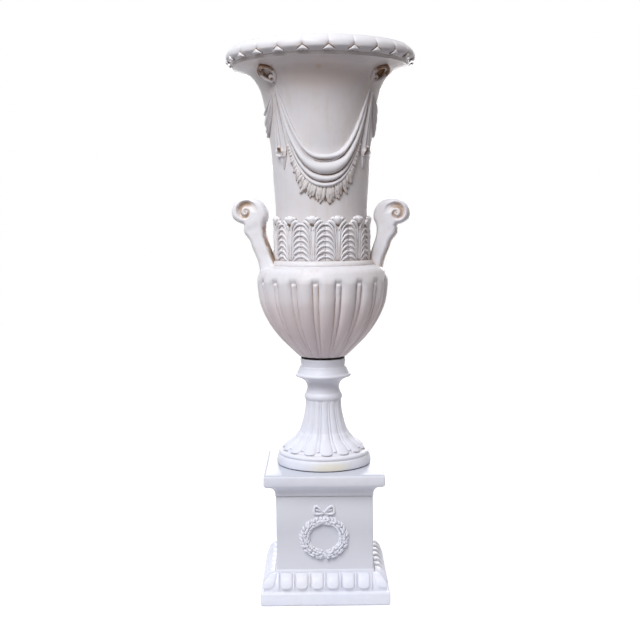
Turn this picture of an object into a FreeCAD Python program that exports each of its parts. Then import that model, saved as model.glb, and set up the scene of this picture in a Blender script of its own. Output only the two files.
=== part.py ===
import FreeCAD, Part
import os
from math import atan2, cos, radians, sin, sqrt

# Pedestal vase in glazed ceramic: an urn on a fluted foot, standing on a square pedestal.
# Millimetres, +Z up, origin at the centre of the pedestal's underside. The wreath faces -Y,
# the handles lie along X, and the vase is turned a little on its pedestal.

os.makedirs("parts", exist_ok=True)

# Castings and fits
wall = 9.0                      # thickness of every casting
luting_gap = 0.2                # room between a casting and the ornament luted on it
overrun = 30.0                  # how far a cutting tool runs past what it cuts
vase_turn = 4.0                 # degrees the vase is turned on its pedestal
quarter_turn = 90
quarter_share = (sqrt(2) - 1) / 2    # rise of a quarter circle as a share of its chord
half_share = 0.5                # rise of a half circle as a share of its chord
slight_share = 0.07             # rise of a barely curved profile as a share of its chord

# Pedestal
die_width = 194.5
die_height = 152.5
fillet_step = 2.25              # how far the fillet stands out from the die
fillet_height = 5.0
ovolo_step = 0.5                # how far the ovolo's top stands out from the fillet
ovolo_reach = 22.0              # from the ovolo's top to its foot
ovolo_height = 32.0
plinth_step = 7.5               # ledge between the ovolo and the plinth's edge
plinth_height = 27.0
plinth_arris = 3.5
cove_reach = 14.75              # how far the cove sweeps out from the die
cove_height = 20.5
cap_step = 8.5                  # how far the cap stands out from the cove
cap_height = 26.0
cap_arris = 5.5

# Tongues and darts on the base ovolo
tongues_per_side = 6
corner_margin = 7.55            # from the die's edge to the last dart of a side
tongue_gap = 5.4                # between two tongues, where a dart stands
tongue_relief = 7.0
corner_relief = 1.2
base_dart_width = 3.4
base_dart_relief = 3.4

# Wreath and bow on the front of the die
wreath_radius = 37.5
wreath_thickness = 12.0
wreath_height = 129.5           # its centre above the floor
bow_width = 43.0
bow_height = 24.0
bow_relief = 3.6
bow_band = 3.4
bow_knot = 8.0
bow_tilt = 14.0                 # degrees each loop is turned

# Felt ring that the vase stands on
felt_thickness = 2.0
felt_width = 10.0
felt_setback = 3.6              # how far the felt stays behind the foot's edge

# Foot
foot_radius = 98.0
foot_band_top_radius = 95.0
foot_band_height = 18.0
foot_groove_radius = 93.0
foot_groove_height = 2.0
foot_bead_radius = 93.4
foot_bead_top_radius = 90.0
foot_bead_height = 7.0
flute_count = 14
flute_foot_radius = 89.0
flute_neck_radius = 37.1
flute_height = 105.0
flute_depth_share = 0.07
flute_dart_angle = 3.4          # half of the ridge between two lobes, in degrees
flute_dart_share = 0.75         # height of that ridge as a share of the lobes' depth
neck_ring_radius = 38.5
neck_ring_height = 14.0
neck_radius = 33.0
scotia_height = 33.0
knop_radius = 57.8
knop_edge_height = 7.0
knop_cone_height = 20.0
collar_radius = 46.6
collar_height = 11.5

# Joint between foot and bowl
gasket_thickness = 5.0
gasket_setback = 1.6
bolt_diameter = 10.0
bolt_clearance = 1.0
bolt_head_width = 17.0          # across the flats
bolt_head_height = 6.4
bolt_reach = 4.0                # thread that stands out below the nut
nut_height = 8.0
washer_radius = 19.0
washer_thickness = 2.0
rubber_radius = 21.0
rubber_thickness = 3.0

# Bowl
bowl_height = 188.0
bowl_radius = 135.0
bowl_top_radius = 104.0
bowl_floor_radius = 47.0
gadroon_count = 18
gadroon_depth_share = 0.055
gadroon_dart_angle = 2.1
gadroon_dart_relief = 4.0

# Bell
bell_height = 432.3
band_height = 9.8
waist_radius = 93.5
soffit_step = 1.0               # from the lip down to the flare, where the soffit starts
soffit_drop = 36.8              # from the rim's top down to the soffit's outer edge
lip_setback = 3.0               # how far the lip stays below the rim's top

# Rim moulding
egg_count = 24
rim_radius = 190.4
rim_thickness = 13.4            # from the outside of the eggs to the bell's lip
rim_drop = 31.3                 # height of the rim moulding
egg_depth_share = 0.02
egg_gap_angle = 1.5             # half of the gap between two eggs, in degrees
rim_dart_width = 17.0
rim_dart_height = 8.5
rim_dart_relief = 3.1
rim_dart_seat_share = 0.983     # where the darts' backs stand, as a share of the rim's radius

# Acanthus leaves round the waist
leaf_count = 12
leaf_height = 94.0
leaf_relief = 5.0
leaf_half_angle = 14.4
leaf_lift = 2.0                 # from the band to the leaves' lower ends

# Handles
handle_reach = 182.0            # from the axis to the outside of the scroll
handle_rise = 150.0             # from the root to the top of the scroll
handle_depth = 50.0
handle_round = 7.0              # how much narrower the handle is at its front and back
handle_root_drop = 16.0         # how far the root lies below the bowl's top
scroll_eye_reach = 155.5
scroll_eye_rise = 120.0         # from the root to the eye
scroll_channel_radius = 20.0
scroll_channel_width = 5.5
scroll_channel_depth = 4.0
scroll_step = 9.0               # how much the channel's radius shrinks in a turn
scroll_turns = 4                # half turns of the channel

# Swags, fringe, tails and knots
knot_drop = 55.8                # from the rim's top to the middle of the knots
knot_half_angle = 50.0
knot_ring_radius = 13.0
knot_ring_thickness = 9.0
knot_bead_radius = 8.0
knot_clearance = 2.4
swag_end_drop = 81.8
swag_top_drop = 214.8
swag_bottom_drop = 278.3
swag_relief = 6.5
swag_base = 2.6                 # thickness in the grooves between the folds
side_swag_half_angle = 31.0
side_swag_top_drop = 122.8
side_swag_bottom_drop = 175.8
side_swag_end_drop = 93.8
fringe_half_angle = 43.0
fringe_gap = 0.9                # between a swag's lower edge and its fringe
fringe_bottom_drop = 311.8      # from the rim's top to the hem, in the middle and at the ends
fringe_end_drop = 236.4
fringe_relief = 3.4
tail_angle = 53.5
tail_top_drop = 95.8
tail_length = 144.0
tail_half_angle = 8.0
tail_relief = 6.0

# Widths and pitches that follow from these
fillet_width = die_width + 2 * fillet_step
ovolo_top_width = fillet_width + 2 * ovolo_step
ovolo_foot_width = ovolo_top_width + 2 * ovolo_reach
plinth_width = ovolo_foot_width + 2 * plinth_step
cove_width = die_width + 2 * cove_reach
cap_width = cove_width + 2 * cap_step
tongue_pitch = (die_width - 2 * corner_margin) / tongues_per_side
tongue_width = tongue_pitch - tongue_gap
lip_radius = rim_radius - rim_thickness
soffit_radius = lip_radius - soffit_step

# Levels
pedestal_top = (plinth_height + ovolo_height + fillet_height + die_height
                + cove_height + cap_height)
foot_bottom = pedestal_top + felt_thickness
flute_bottom = foot_bottom + foot_band_height + foot_groove_height + foot_bead_height
flute_top = flute_bottom + flute_height
neck_bottom = flute_top + neck_ring_height
knop_bottom = neck_bottom + scotia_height
foot_top = knop_bottom + knop_edge_height + knop_cone_height + collar_height
bowl_bottom = foot_top + gasket_thickness
seam_level = bowl_bottom + bowl_height
band_top = seam_level + band_height
rim_top = seam_level + bell_height
soffit_level = rim_top - soffit_drop

origin = FreeCAD.Vector(0, 0, 0)
up = FreeCAD.Vector(0, 0, 1)


def at(radius, angle, level):
    # Angles are in degrees from the front (-Y) towards the right handle (+X).
    return FreeCAD.Vector(radius * sin(radians(angle)), -radius * cos(radians(angle)), level)


def lerp(first, last, share):
    return first + (last - first) * share


def save(name, shape, turned=True):
    if turned:
        shape = shape.copy()
        shape.rotate(origin, up, vase_turn)
    shape.exportStep("parts/" + name + ".step")
    print(name, "solids", len(shape.Solids), "valid", shape.isValid(), "volume", round(shape.Volume))


class Outline:
    # A closed outline in the X-Z plane, drawn edge by edge. A positive rise bulges to the
    # right of the direction of travel, which is outwards on the way up.

    def __init__(self, x, z):
        self.start = FreeCAD.Vector(x, 0, z)
        self.here = self.start
        self.edges = []

    def line(self, x, z):
        end = FreeCAD.Vector(x, 0, z)
        self.edges.append(Part.makeLine(self.here, end))
        self.here = end
        return self

    def arc(self, x, z, rise_share):
        end = FreeCAD.Vector(x, 0, z)
        run = end - self.here
        side = FreeCAD.Vector(run.z, 0, -run.x)
        middle = (self.here + end) * 0.5 + side * rise_share
        self.edges.append(Part.Arc(self.here, middle, end).toShape())
        self.here = end
        return self

    def curve(self, points):
        vectors = [self.here] + [FreeCAD.Vector(x, 0, z) for x, z in points]
        spline = Part.BSplineCurve()
        spline.interpolate(vectors)
        self.edges.append(spline.toShape())
        self.here = vectors[-1]
        return self

    def wire(self):
        if self.here.distanceToPoint(self.start) > 0:
            self.edges.append(Part.makeLine(self.here, self.start))
        return Part.Wire(self.edges)

    def revolved(self):
        return Part.Face(self.wire()).revolve(origin, up, 360)


def inset(points, depth):
    # The same curve moved sideways by depth, to the left of its direction of travel.
    moved = []
    last = len(points) - 1
    for index, (x, z) in enumerate(points):
        before = points[max(index - 1, 0)]
        after = points[min(index + 1, last)]
        run_x = after[0] - before[0]
        run_z = after[1] - before[1]
        run = sqrt(run_x ** 2 + run_z ** 2)
        moved.append((x - depth * run_z / run, z + depth * run_x / run))
    return moved


def arc_edge(first, middle, last):
    return Part.Arc(first, middle, last).toShape()


def closed_wire(points):
    return Part.makePolygon(points + [points[0]])


def lofted(wires):
    return Part.makeLoft(wires, True, False)


def tube(outer, inner, bottom, height):
    outside = Part.makeCylinder(outer, height, FreeCAD.Vector(0, 0, bottom))
    inside = Part.makeCylinder(inner, height, FreeCAD.Vector(0, 0, bottom))
    return outside.cut(inside)


def lobed_wire(level, count, crest, depth, dart_angle, dart_relief):
    # One level of a lobed body: a wide convex lobe and a narrow dart in every pitch.
    pitch = 360 / count
    valley = crest - depth
    edges = []
    for index in range(count):
        middle = index * pitch
        left = middle - pitch / 2 + dart_angle
        right = middle + pitch / 2 - dart_angle
        edges.append(arc_edge(at(valley, left, level), at(crest, middle, level),
                              at(valley, right, level)))
        edges.append(arc_edge(at(valley, right, level),
                              at(valley + dart_relief, middle + pitch / 2, level),
                              at(valley, left + pitch, level)))
    return Part.Wire(edges)


# Pedestal

die_bottom = plinth_height + ovolo_height + fillet_height
die_top = die_bottom + die_height
cove_top = die_top + cove_height


def pedestal_half_outline():
    half = Outline(0, 0)
    half.line(plinth_width / 2 - plinth_arris, 0)
    half.arc(plinth_width / 2, plinth_arris, quarter_share)
    half.line(plinth_width / 2, plinth_height - plinth_arris)
    half.arc(plinth_width / 2 - plinth_arris, plinth_height, quarter_share)
    half.line(ovolo_foot_width / 2, plinth_height)
    half.arc(ovolo_top_width / 2, plinth_height + ovolo_height, quarter_share)
    half.line(fillet_width / 2, plinth_height + ovolo_height)
    half.line(fillet_width / 2, die_bottom)
    half.line(die_width / 2, die_bottom)
    half.line(die_width / 2, die_top)
    half.arc(cove_width / 2, cove_top, -quarter_share)
    half.line(cap_width / 2 - cap_arris, cove_top)
    half.arc(cap_width / 2, cove_top + cap_arris, quarter_share)
    half.line(cap_width / 2, pedestal_top - cap_arris)
    half.arc(cap_width / 2 - cap_arris, pedestal_top, quarter_share)
    half.line(0, pedestal_top)
    return half


def pedestal_inside_outline():
    inside = Outline(0, -overrun)
    inside.line(plinth_width / 2 - wall, -overrun)
    inside.line(plinth_width / 2 - wall, plinth_height - wall)
    inside.line(die_width / 2 - wall, die_bottom)
    inside.line(die_width / 2 - wall, die_top)
    inside.line(cove_width / 2 - wall, cove_top)
    inside.line(cove_width / 2 - wall, pedestal_top - wall)
    inside.line(0, pedestal_top - wall)
    return inside


def squared(half, reach):
    # The square solid whose half width at every level is the half outline's.
    right = Part.Face(half.wire()).extrude(FreeCAD.Vector(0, 2 * reach, 0))
    right.translate(FreeCAD.Vector(0, -reach, 0))
    left = right.mirror(origin, FreeCAD.Vector(1, 0, 0))
    along_y = right.fuse(left).removeSplitter()
    along_x = along_y.copy()
    along_x.rotate(origin, up, 90)
    return along_y.common(along_x)


def make_pedestal():
    outside = squared(pedestal_half_outline(), plinth_width)
    return outside.cut(squared(pedestal_inside_outline(), plinth_width))


def ovolo_places(shares):
    # Points and outward directions on the base ovolo, from its foot to its top.
    foot = FreeCAD.Vector(ovolo_foot_width / 2, 0, plinth_height)
    top = FreeCAD.Vector(ovolo_top_width / 2, 0, plinth_height + ovolo_height)
    run = top - foot
    rise = FreeCAD.Vector(run.z, 0, -run.x) * quarter_share
    ovolo = arc_edge(foot, (foot + top) * 0.5 + rise, top)
    centre = ovolo.Curve.Center
    places = []
    for share in shares:
        point = ovolo.valueAt(lerp(ovolo.FirstParameter, ovolo.LastParameter, share))
        places.append((point, (point - centre).normalize()))
    return places


# shares of the ovolo's arc, then of the width and of the relief of a tongue at each of them
tongue_arc_shares = (0.10, 0.17, 0.30, 0.55, 0.80, 0.98)
tongue_width_shares = (0.40, 0.80, 1.00, 1.00, 0.98, 0.95)
tongue_relief_shares = (0.30, 0.75, 1.00, 1.00, 0.95, 0.80)


def ovolo_rib(offset, width, relief):
    # One convex rib up the ovolo of the right side, offset along that side.
    wires = []
    places = ovolo_places(tongue_arc_shares)
    for place, width_share, relief_share in zip(places, tongue_width_shares, tongue_relief_shares):
        point, out = place
        seat = point + out * luting_gap
        across = FreeCAD.Vector(0, width * width_share / 2, 0)
        middle = seat + FreeCAD.Vector(0, offset, 0)
        crest = middle + out * relief * relief_share
        edges = [arc_edge(middle - across, crest, middle + across),
                 Part.makeLine(middle + across, middle - across)]
        wires.append(Part.Wire(edges))
    return lofted(wires)


def corner_tongue():
    wires = []
    for place, relief_share in zip(ovolo_places(tongue_arc_shares), tongue_relief_shares):
        point, out = place
        reach = point.x + luting_gap
        side = die_width / 2 - corner_margin + base_dart_width * 2
        corner = FreeCAD.Vector(reach, reach, point.z)
        crest = corner + FreeCAD.Vector(1, 1, 0) * corner_relief * relief_share
        right = FreeCAD.Vector(reach, side, point.z)
        left = FreeCAD.Vector(side, reach, point.z)
        edges = [arc_edge(right, crest, left), Part.makeLine(left, corner),
                 Part.makeLine(corner, right)]
        wires.append(Part.Wire(edges))
    return lofted(wires)


def on_four_sides(shapes):
    turned = []
    for side in range(4):
        for shape in shapes:
            copy = shape.copy()
            copy.rotate(origin, up, 90 * side)
            turned.append(copy)
    return Part.makeCompound(turned)


def make_base_tongues():
    first = -(tongues_per_side - 1) / 2 * tongue_pitch
    side = [ovolo_rib(first + index * tongue_pitch, tongue_width, tongue_relief)
            for index in range(tongues_per_side)]
    return on_four_sides(side + [corner_tongue()])


def make_base_darts():
    first = -tongues_per_side / 2 * tongue_pitch
    side = [ovolo_rib(first + index * tongue_pitch, base_dart_width, base_dart_relief)
            for index in range(tongues_per_side + 1)]
    return on_four_sides(side)


die_front = -die_width / 2 - luting_gap


def make_wreath():
    centre = FreeCAD.Vector(0, die_front, wreath_height)
    ring = Part.makeTorus(wreath_radius, wreath_thickness / 2, centre, FreeCAD.Vector(0, 1, 0))
    behind = Part.makeBox(die_width, die_width, die_width,
                          FreeCAD.Vector(-die_width / 2, die_front, wreath_height - die_width / 2))
    return ring.cut(behind)


# shares of the bow's half width and height: the middle of a loop, its radii, and a tail
bow_loop_shares = (0.52, 0.64)
bow_radius_shares = (0.50, 0.34)
bow_tail_shares = ((0.02, 0.42), (0.30, 0.42), (0.72, 0.04), (0.46, 0.02))


def bow_loop(width, height, thickness):
    loop = Part.Ellipse(origin, max(width, height), min(width, height)).toShape()
    solid = Part.Face(Part.Wire(loop)).extrude(up * thickness)
    solid.rotate(origin, FreeCAD.Vector(1, 0, 0), 90)
    solid.rotate(origin, FreeCAD.Vector(0, 1, 0), -bow_tilt)
    return solid


def make_bow():
    bottom = wreath_height + wreath_radius + wreath_thickness / 2
    half = bow_width / 2
    radii = [half * bow_radius_shares[0], bow_height * bow_radius_shares[1]]
    loop = bow_loop(radii[0], radii[1], bow_relief)
    loop = loop.cut(bow_loop(radii[0] - bow_band, radii[1] - bow_band, bow_relief))
    loop.translate(FreeCAD.Vector(half * bow_loop_shares[0], die_front,
                                  bottom + bow_height * bow_loop_shares[1]))
    corners = [FreeCAD.Vector(x * half, die_front, bottom + z * bow_height)
               for x, z in bow_tail_shares]
    tail = Part.Face(closed_wire(corners)).extrude(FreeCAD.Vector(0, -bow_relief, 0))
    right = loop.fuse(tail)
    left = right.mirror(origin, FreeCAD.Vector(1, 0, 0))
    place = FreeCAD.Vector(0, die_front, bottom + bow_height * bow_loop_shares[1])
    knot = Part.makeCylinder(bow_knot / 2, bow_relief + bow_band / 2, place,
                             FreeCAD.Vector(0, -1, 0))
    return right.fuse([left, knot]).cut(make_wreath())


# Foot and joint

# shares of the flutes' height, of the span from neck to foot radius, and of their depth
flute_level_shares = (0.0, 0.035, 0.076, 0.139, 0.2, 0.257, 0.324, 0.381, 0.505, 0.619, 0.743,
                      0.867, 0.96, 1.0)
flute_radius_shares = (1.0, 0.945, 0.865, 0.73, 0.547, 0.42, 0.3275, 0.2466, 0.158, 0.0944, 0.0424,
                       0.0077, 0.0, 0.0)
flute_depth_shares = (0.0, 0.45, 0.8, 1.0, 1.0, 1.0, 1.0, 1.0, 1.0, 1.0, 1.0, 0.9, 0.7, 0.0)


def flute_levels():
    for level_share, radius_share, depth_share in zip(flute_level_shares, flute_radius_shares,
                                                      flute_depth_shares):
        radius = lerp(flute_neck_radius, flute_foot_radius, radius_share)
        yield (flute_bottom + flute_height * level_share, radius,
               radius * flute_depth_share * depth_share)


def make_flutes():
    wires = [lobed_wire(level, flute_count, radius, depth, flute_dart_angle,
                        depth * flute_dart_share)
             for level, radius, depth in flute_levels()]
    return lofted(wires)


def foot_base():
    groove_bottom = foot_bottom + foot_band_height
    bead_bottom = groove_bottom + foot_groove_height
    base = Outline(0, foot_bottom)
    base.line(foot_radius, foot_bottom)
    base.arc(foot_band_top_radius, groove_bottom, slight_share)
    base.line(foot_groove_radius, bead_bottom)
    base.line(foot_bead_radius, bead_bottom)
    base.arc(foot_bead_top_radius, flute_bottom, quarter_share)
    base.line(0, flute_bottom)
    return base.revolved()


# shares of the span from neck to knop edge, and of the scotia's height
scotia_shares = ((0.11, 0.0), (0.0, 0.27), (0.075, 0.485), (0.27, 0.667), (0.62, 0.867), (1.0, 1.0))
scotia_points = [(lerp(neck_radius, knop_radius - knop_edge_height / 2, x),
                  lerp(neck_bottom, knop_bottom, z)) for x, z in scotia_shares]


def foot_head():
    head = Outline(0, flute_top)
    head.line(neck_ring_radius, flute_top)
    head.arc(scotia_points[0][0], neck_bottom, quarter_share)
    head.curve(scotia_points[1:])
    head.arc(knop_radius - knop_edge_height / 2, knop_bottom + knop_edge_height, half_share)
    head.arc(collar_radius, foot_top - collar_height, slight_share)
    head.line(collar_radius, foot_top)
    head.line(0, foot_top)
    return head.revolved()


def foot_inside():
    trumpet = [(radius - depth, level) for level, radius, depth in flute_levels()]
    inner = inset(trumpet, wall)
    passage = neck_radius - wall
    roof = foot_top - wall
    room = Outline(0, foot_bottom - overrun)
    room.line(foot_radius - wall, foot_bottom - overrun)
    room.line(foot_radius - wall, foot_bottom + wall)
    room.curve(inner[1:-3])
    room.line(passage, flute_top)
    room.line(passage, knop_bottom)
    room.line(collar_radius - wall, knop_bottom + knop_edge_height + wall)
    room.line(collar_radius - wall, roof)
    room.line(0, roof)
    return room.revolved()


def bolt_hole():
    return Part.makeCylinder(bolt_diameter / 2 + bolt_clearance, rim_top,
                             FreeCAD.Vector(0, 0, foot_bottom))


def make_foot():
    outside = foot_base().fuse([make_flutes(), foot_head()])
    return outside.cut(foot_inside()).cut(bolt_hole())


def make_felt_ring():
    outer = foot_radius - felt_setback
    return tube(outer, outer - felt_width, pedestal_top, felt_thickness)


def make_gasket():
    return tube(collar_radius - gasket_setback, bolt_diameter / 2 + bolt_clearance, foot_top,
                gasket_thickness)


# stack of the clamp: levels of what lies on the bowl's floor and under the foot's roof
upper_rubber = bowl_bottom + wall
upper_washer = upper_rubber + rubber_thickness
bolt_seat = upper_washer + washer_thickness
lower_rubber = foot_top - wall - rubber_thickness
lower_washer = lower_rubber - washer_thickness
nut_level = lower_washer - nut_height


def hexagon(width, bottom, height):
    corner = width / sqrt(3)
    points = [at(corner, 60 * index, bottom) for index in range(6)]
    return Part.Face(closed_wire(points)).extrude(up * height)


def make_bolt():
    end = nut_level - bolt_reach
    shank = Part.makeCylinder(bolt_diameter / 2, bolt_seat - end, FreeCAD.Vector(0, 0, end))
    return shank.fuse(hexagon(bolt_head_width, bolt_seat, bolt_head_height)).removeSplitter()


def make_nut():
    bore = Part.makeCylinder(bolt_diameter / 2, nut_height, FreeCAD.Vector(0, 0, nut_level))
    return hexagon(bolt_head_width, nut_level, nut_height).cut(bore)


def washer_pair(radius, thickness, levels):
    bore = bolt_diameter / 2 + bolt_clearance / 2
    return Part.makeCompound([tube(radius, bore, level, thickness) for level in levels])


# Bowl

# shares of the bowl's height, of its widest radius, and of the gadroons' and darts' depth
bowl_level_shares = (0.0, 0.04, 0.11, 0.21, 0.34, 0.475, 0.61, 0.735, 0.815, 0.85, 0.89,
                     0.94, 0.976, 1.0)
bowl_radius_shares = (0.359, 0.421, 0.523, 0.659, 0.797, 0.899, 0.967, 0.992, 1.0, 0.993, 0.974,
                      0.942, 0.886, 0.775)
bowl_depth_shares = (0.8, 0.9, 1.0, 1.0, 1.0, 1.0, 1.0, 1.0, 1.0, 0.85, 0.55, 0.15, 0.0, 0.0)
bowl_dart_shares = (0.25, 0.3, 0.4, 0.55, 0.75, 0.9, 1.0, 1.0, 1.0, 0.0, 0.0, 0.0, 0.0, 0.0)


def bowl_levels():
    for level_share, radius_share, depth_share, dart_share in zip(
            bowl_level_shares, bowl_radius_shares, bowl_depth_shares, bowl_dart_shares):
        radius = bowl_radius * radius_share
        yield (bowl_bottom + bowl_height * level_share, radius,
               radius * gadroon_depth_share * depth_share, gadroon_dart_relief * dart_share)


def bowl_inside():
    skin = [(radius - depth, level) for level, radius, depth, dart in bowl_levels()]
    inner = inset(skin, wall)
    floor = bowl_bottom + wall
    mouth = waist_radius - wall
    room = Outline(0, floor)
    room.line(bowl_floor_radius - wall, floor)
    room.curve(inner[2:-2])
    room.line(mouth, seam_level - wall)
    room.line(mouth, seam_level + overrun)
    room.line(0, seam_level + overrun)
    return room.revolved()


def bowl_block():
    wires = [lobed_wire(level, gadroon_count, radius, depth, gadroon_dart_angle, dart)
             for level, radius, depth, dart in bowl_levels()]
    return lofted(wires)


def make_bowl(block):
    return block.cut(bowl_inside()).cut(bolt_hole())


# Bell

# shares of the span from waist to soffit radius, and of the height from band to soffit
bell_shares = ((0.0, 0.0), (0.0, 0.15), (0.002, 0.27), (0.044, 0.41), (0.082, 0.555),
               (0.125, 0.63), (0.215, 0.77), (0.314, 0.868), (0.394, 0.909), (0.48, 0.94),
               (0.57, 0.96), (0.65, 0.9725), (0.80, 0.985), (1.0, 1.0))


def bell_points():
    return [(lerp(waist_radius, soffit_radius, x), lerp(band_top, soffit_level, z))
            for x, z in bell_shares]


def bell_curve():
    spline = Part.BSplineCurve()
    spline.interpolate([FreeCAD.Vector(x, 0, z) for x, z in bell_points()])
    return spline


bell_skin = bell_curve()


def bell_radius(level):
    # The bell's outer radius at a level, found by halving the curve's parameter range.
    low, high = bell_skin.FirstParameter, bell_skin.LastParameter
    for step in range(40):
        middle = (low + high) / 2
        if bell_skin.value(middle).z < level:
            low = middle
        else:
            high = middle
    return bell_skin.value(low).x


def make_bell():
    outer = bell_points()
    inner = inset(outer, wall)
    lip_top = rim_top - lip_setback
    lip_inside = inner[-1][0]
    body = Outline(waist_radius - wall, seam_level)
    body.line(bowl_top_radius, seam_level)
    body.arc(bowl_top_radius, band_top, quarter_share)
    body.line(*outer[0])
    body.curve(outer[1:])
    body.line(lip_radius, soffit_level)
    body.line(lip_radius, lip_top - wall)
    body.arc(lip_inside, lip_top - wall, half_share)
    body.line(*inner[-1])
    body.curve(list(reversed(inner[1:-1])))
    return body.revolved()


# shares of the rim moulding's height, of its radius, and of the eggs' depth
rim_level_shares = (0.0, 0.08, 0.24, 0.42, 0.58, 0.75, 0.89, 1.0)
rim_radius_shares = (0.964, 0.985, 0.999, 1.0, 0.994, 0.977, 0.955, 0.928)
rim_depth_shares = (0.0, 0.25, 0.9, 1.0, 1.0, 0.9, 0.6, 0.0)


def make_rim():
    wires = []
    for level_share, radius_share, depth_share in zip(rim_level_shares, rim_radius_shares,
                                                      rim_depth_shares):
        level = rim_top - rim_drop + rim_drop * level_share
        radius = rim_radius * radius_share
        wires.append(lobed_wire(level, egg_count, radius, radius * egg_depth_share * depth_share,
                                egg_gap_angle, 0))
    core = Part.makeCylinder(lip_radius + luting_gap, rim_drop + 2 * overrun,
                             FreeCAD.Vector(0, 0, rim_top - rim_drop - overrun))
    return lofted(wires).cut(core)


def make_rim_darts():
    # Small triangles that point up between the eggs.
    pitch = 360 / egg_count
    bottom = rim_top - rim_drop
    middle = at(rim_radius * rim_dart_seat_share, pitch / 2, bottom)
    across = at(rim_dart_width / 2, pitch / 2 + quarter_turn, 0)
    points = [middle - across, middle + across, middle + up * rim_dart_height]
    dart = Part.Face(closed_wire(points)).extrude(at(rim_dart_relief, pitch / 2, 0))
    darts = []
    for index in range(egg_count):
        copy = dart.copy()
        copy.rotate(origin, up, index * pitch)
        darts.append(copy)
    return Part.makeCompound(darts)


# Acanthus collar

# shares of a leaf's height, of its half angle, and of its relief
leaf_level_shares = (0.0, 0.12, 0.35, 0.58, 0.78, 0.9, 0.97, 1.0)
leaf_width_shares = (0.80, 0.95, 1.0, 0.95, 0.78, 0.55, 0.45, 0.3)
leaf_relief_shares = (0.55, 0.85, 1.0, 1.0, 0.95, 1.15, 1.2, 0.8)
edge_share = 0.25               # thickness of a patch's edge as a share of its relief


def wall_patch(level, middle, half_angle, radius, relief):
    # A strip of the wall at one level, with a raised middle.
    left = middle - half_angle
    right = middle + half_angle
    thin = radius + relief * edge_share
    edges = [arc_edge(at(radius, left, level), at(radius, middle, level), at(radius, right, level)),
             Part.makeLine(at(radius, right, level), at(thin, right, level)),
             arc_edge(at(thin, right, level), at(radius + relief, middle, level),
                      at(thin, left, level)),
             Part.makeLine(at(thin, left, level), at(radius, left, level))]
    return Part.Wire(edges)


def make_leaves():
    bottom = band_top + leaf_lift
    pitch = 360 / leaf_count
    leaves = []
    for index in range(leaf_count):
        middle = (index + half_share) * pitch
        wires = []
        for level_share, width_share, relief_share in zip(leaf_level_shares, leaf_width_shares,
                                                          leaf_relief_shares):
            level = bottom + leaf_height * level_share
            wires.append(wall_patch(level, middle, leaf_half_angle * width_share,
                                    bell_radius(level) + luting_gap, leaf_relief * relief_share))
        leaves.append(lofted(wires))
    return Part.makeCompound(leaves)


# Handles

# outline of the right handle: shares of its reach from the axis and of its rise from the root
handle_inner_shares = ((0.505, 0.130), (0.549, 0.240), (0.586, 0.365), (0.617, 0.480),
                       (0.627, 0.585), (0.619, 0.655), (0.595, 0.720), (0.593, 0.785),
                       (0.607, 0.855), (0.647, 0.930), (0.708, 0.982), (0.785, 1.0),
                       (0.862, 0.995), (0.934, 0.955), (0.981, 0.890), (1.0, 0.805),
                       (0.985, 0.725), (0.935, 0.672), (0.885, 0.648), (0.856, 0.635),
                       (0.862, 0.590), (0.857, 0.530), (0.825, 0.475), (0.789, 0.415),
                       (0.766, 0.330), (0.719, 0.200), (0.695, 0.105), (0.684, 0.020))
handle_root_shares = ((0.600, 0.020), (0.470, 0.075))


def scroll_channel(face):
    # A spiral channel of half turns, each smaller than the last by the scroll's step.
    centre_x = scroll_eye_reach
    centre_z = seam_level - handle_root_drop + scroll_eye_rise
    radius = scroll_channel_radius
    outer = []
    inner = []
    side = -1
    for turn in range(scroll_turns):
        for edges, size in ((outer, radius), (inner, radius - scroll_channel_width)):
            start = FreeCAD.Vector(centre_x + side * size, face, centre_z)
            middle = FreeCAD.Vector(centre_x, face, centre_z - side * size)
            end = FreeCAD.Vector(centre_x - side * size, face, centre_z)
            edges.append(arc_edge(start, middle, end))
        centre_x -= side * scroll_step / 2
        radius -= scroll_step / 2
        side = -side
    caps = [Part.makeLine(outer[0].Vertexes[0].Point, inner[0].Vertexes[0].Point),
            Part.makeLine(outer[-1].Vertexes[1].Point, inner[-1].Vertexes[1].Point)]
    wire = Part.Wire(Part.__sortEdges__(outer + inner + caps))
    return Part.Face(wire)


# stations through the handle's depth, and how much narrower than its middle it is at each
handle_depth_shares = (-0.5, -0.42, -0.27, 0.0, 0.27, 0.42, 0.5)
handle_narrow_shares = (1.0, 0.55, 0.15, 0.0, 0.15, 0.55, 1.0)


def handle_section(y, narrowing):
    root = seam_level - handle_root_drop
    side = inset([(x * handle_reach, root + z * handle_rise) for x, z in handle_inner_shares],
                 -narrowing)
    spline = Part.BSplineCurve()
    spline.interpolate([FreeCAD.Vector(x, y, z) for x, z in side])
    ends = [FreeCAD.Vector(x * handle_reach, y, root + z * handle_rise)
            for x, z in handle_root_shares]
    foot = Part.makePolygon([spline.EndPoint] + ends + [spline.StartPoint])
    return Part.Wire([spline.toShape()] + foot.Edges)


def make_handle(bell, block):
    wires = [handle_section(handle_depth * depth_share, handle_round * narrow_share)
             for depth_share, narrow_share in zip(handle_depth_shares, handle_narrow_shares)]
    solid = lofted(wires)
    for side in (-1, 1):
        face = scroll_channel(side * handle_depth / 2)
        depth = FreeCAD.Vector(0, -side * scroll_channel_depth, 0)
        solid = solid.cut(face.extrude(depth))
    return solid.cut(bell).cut(block)


# Swags, fringe, tails and knots

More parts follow.
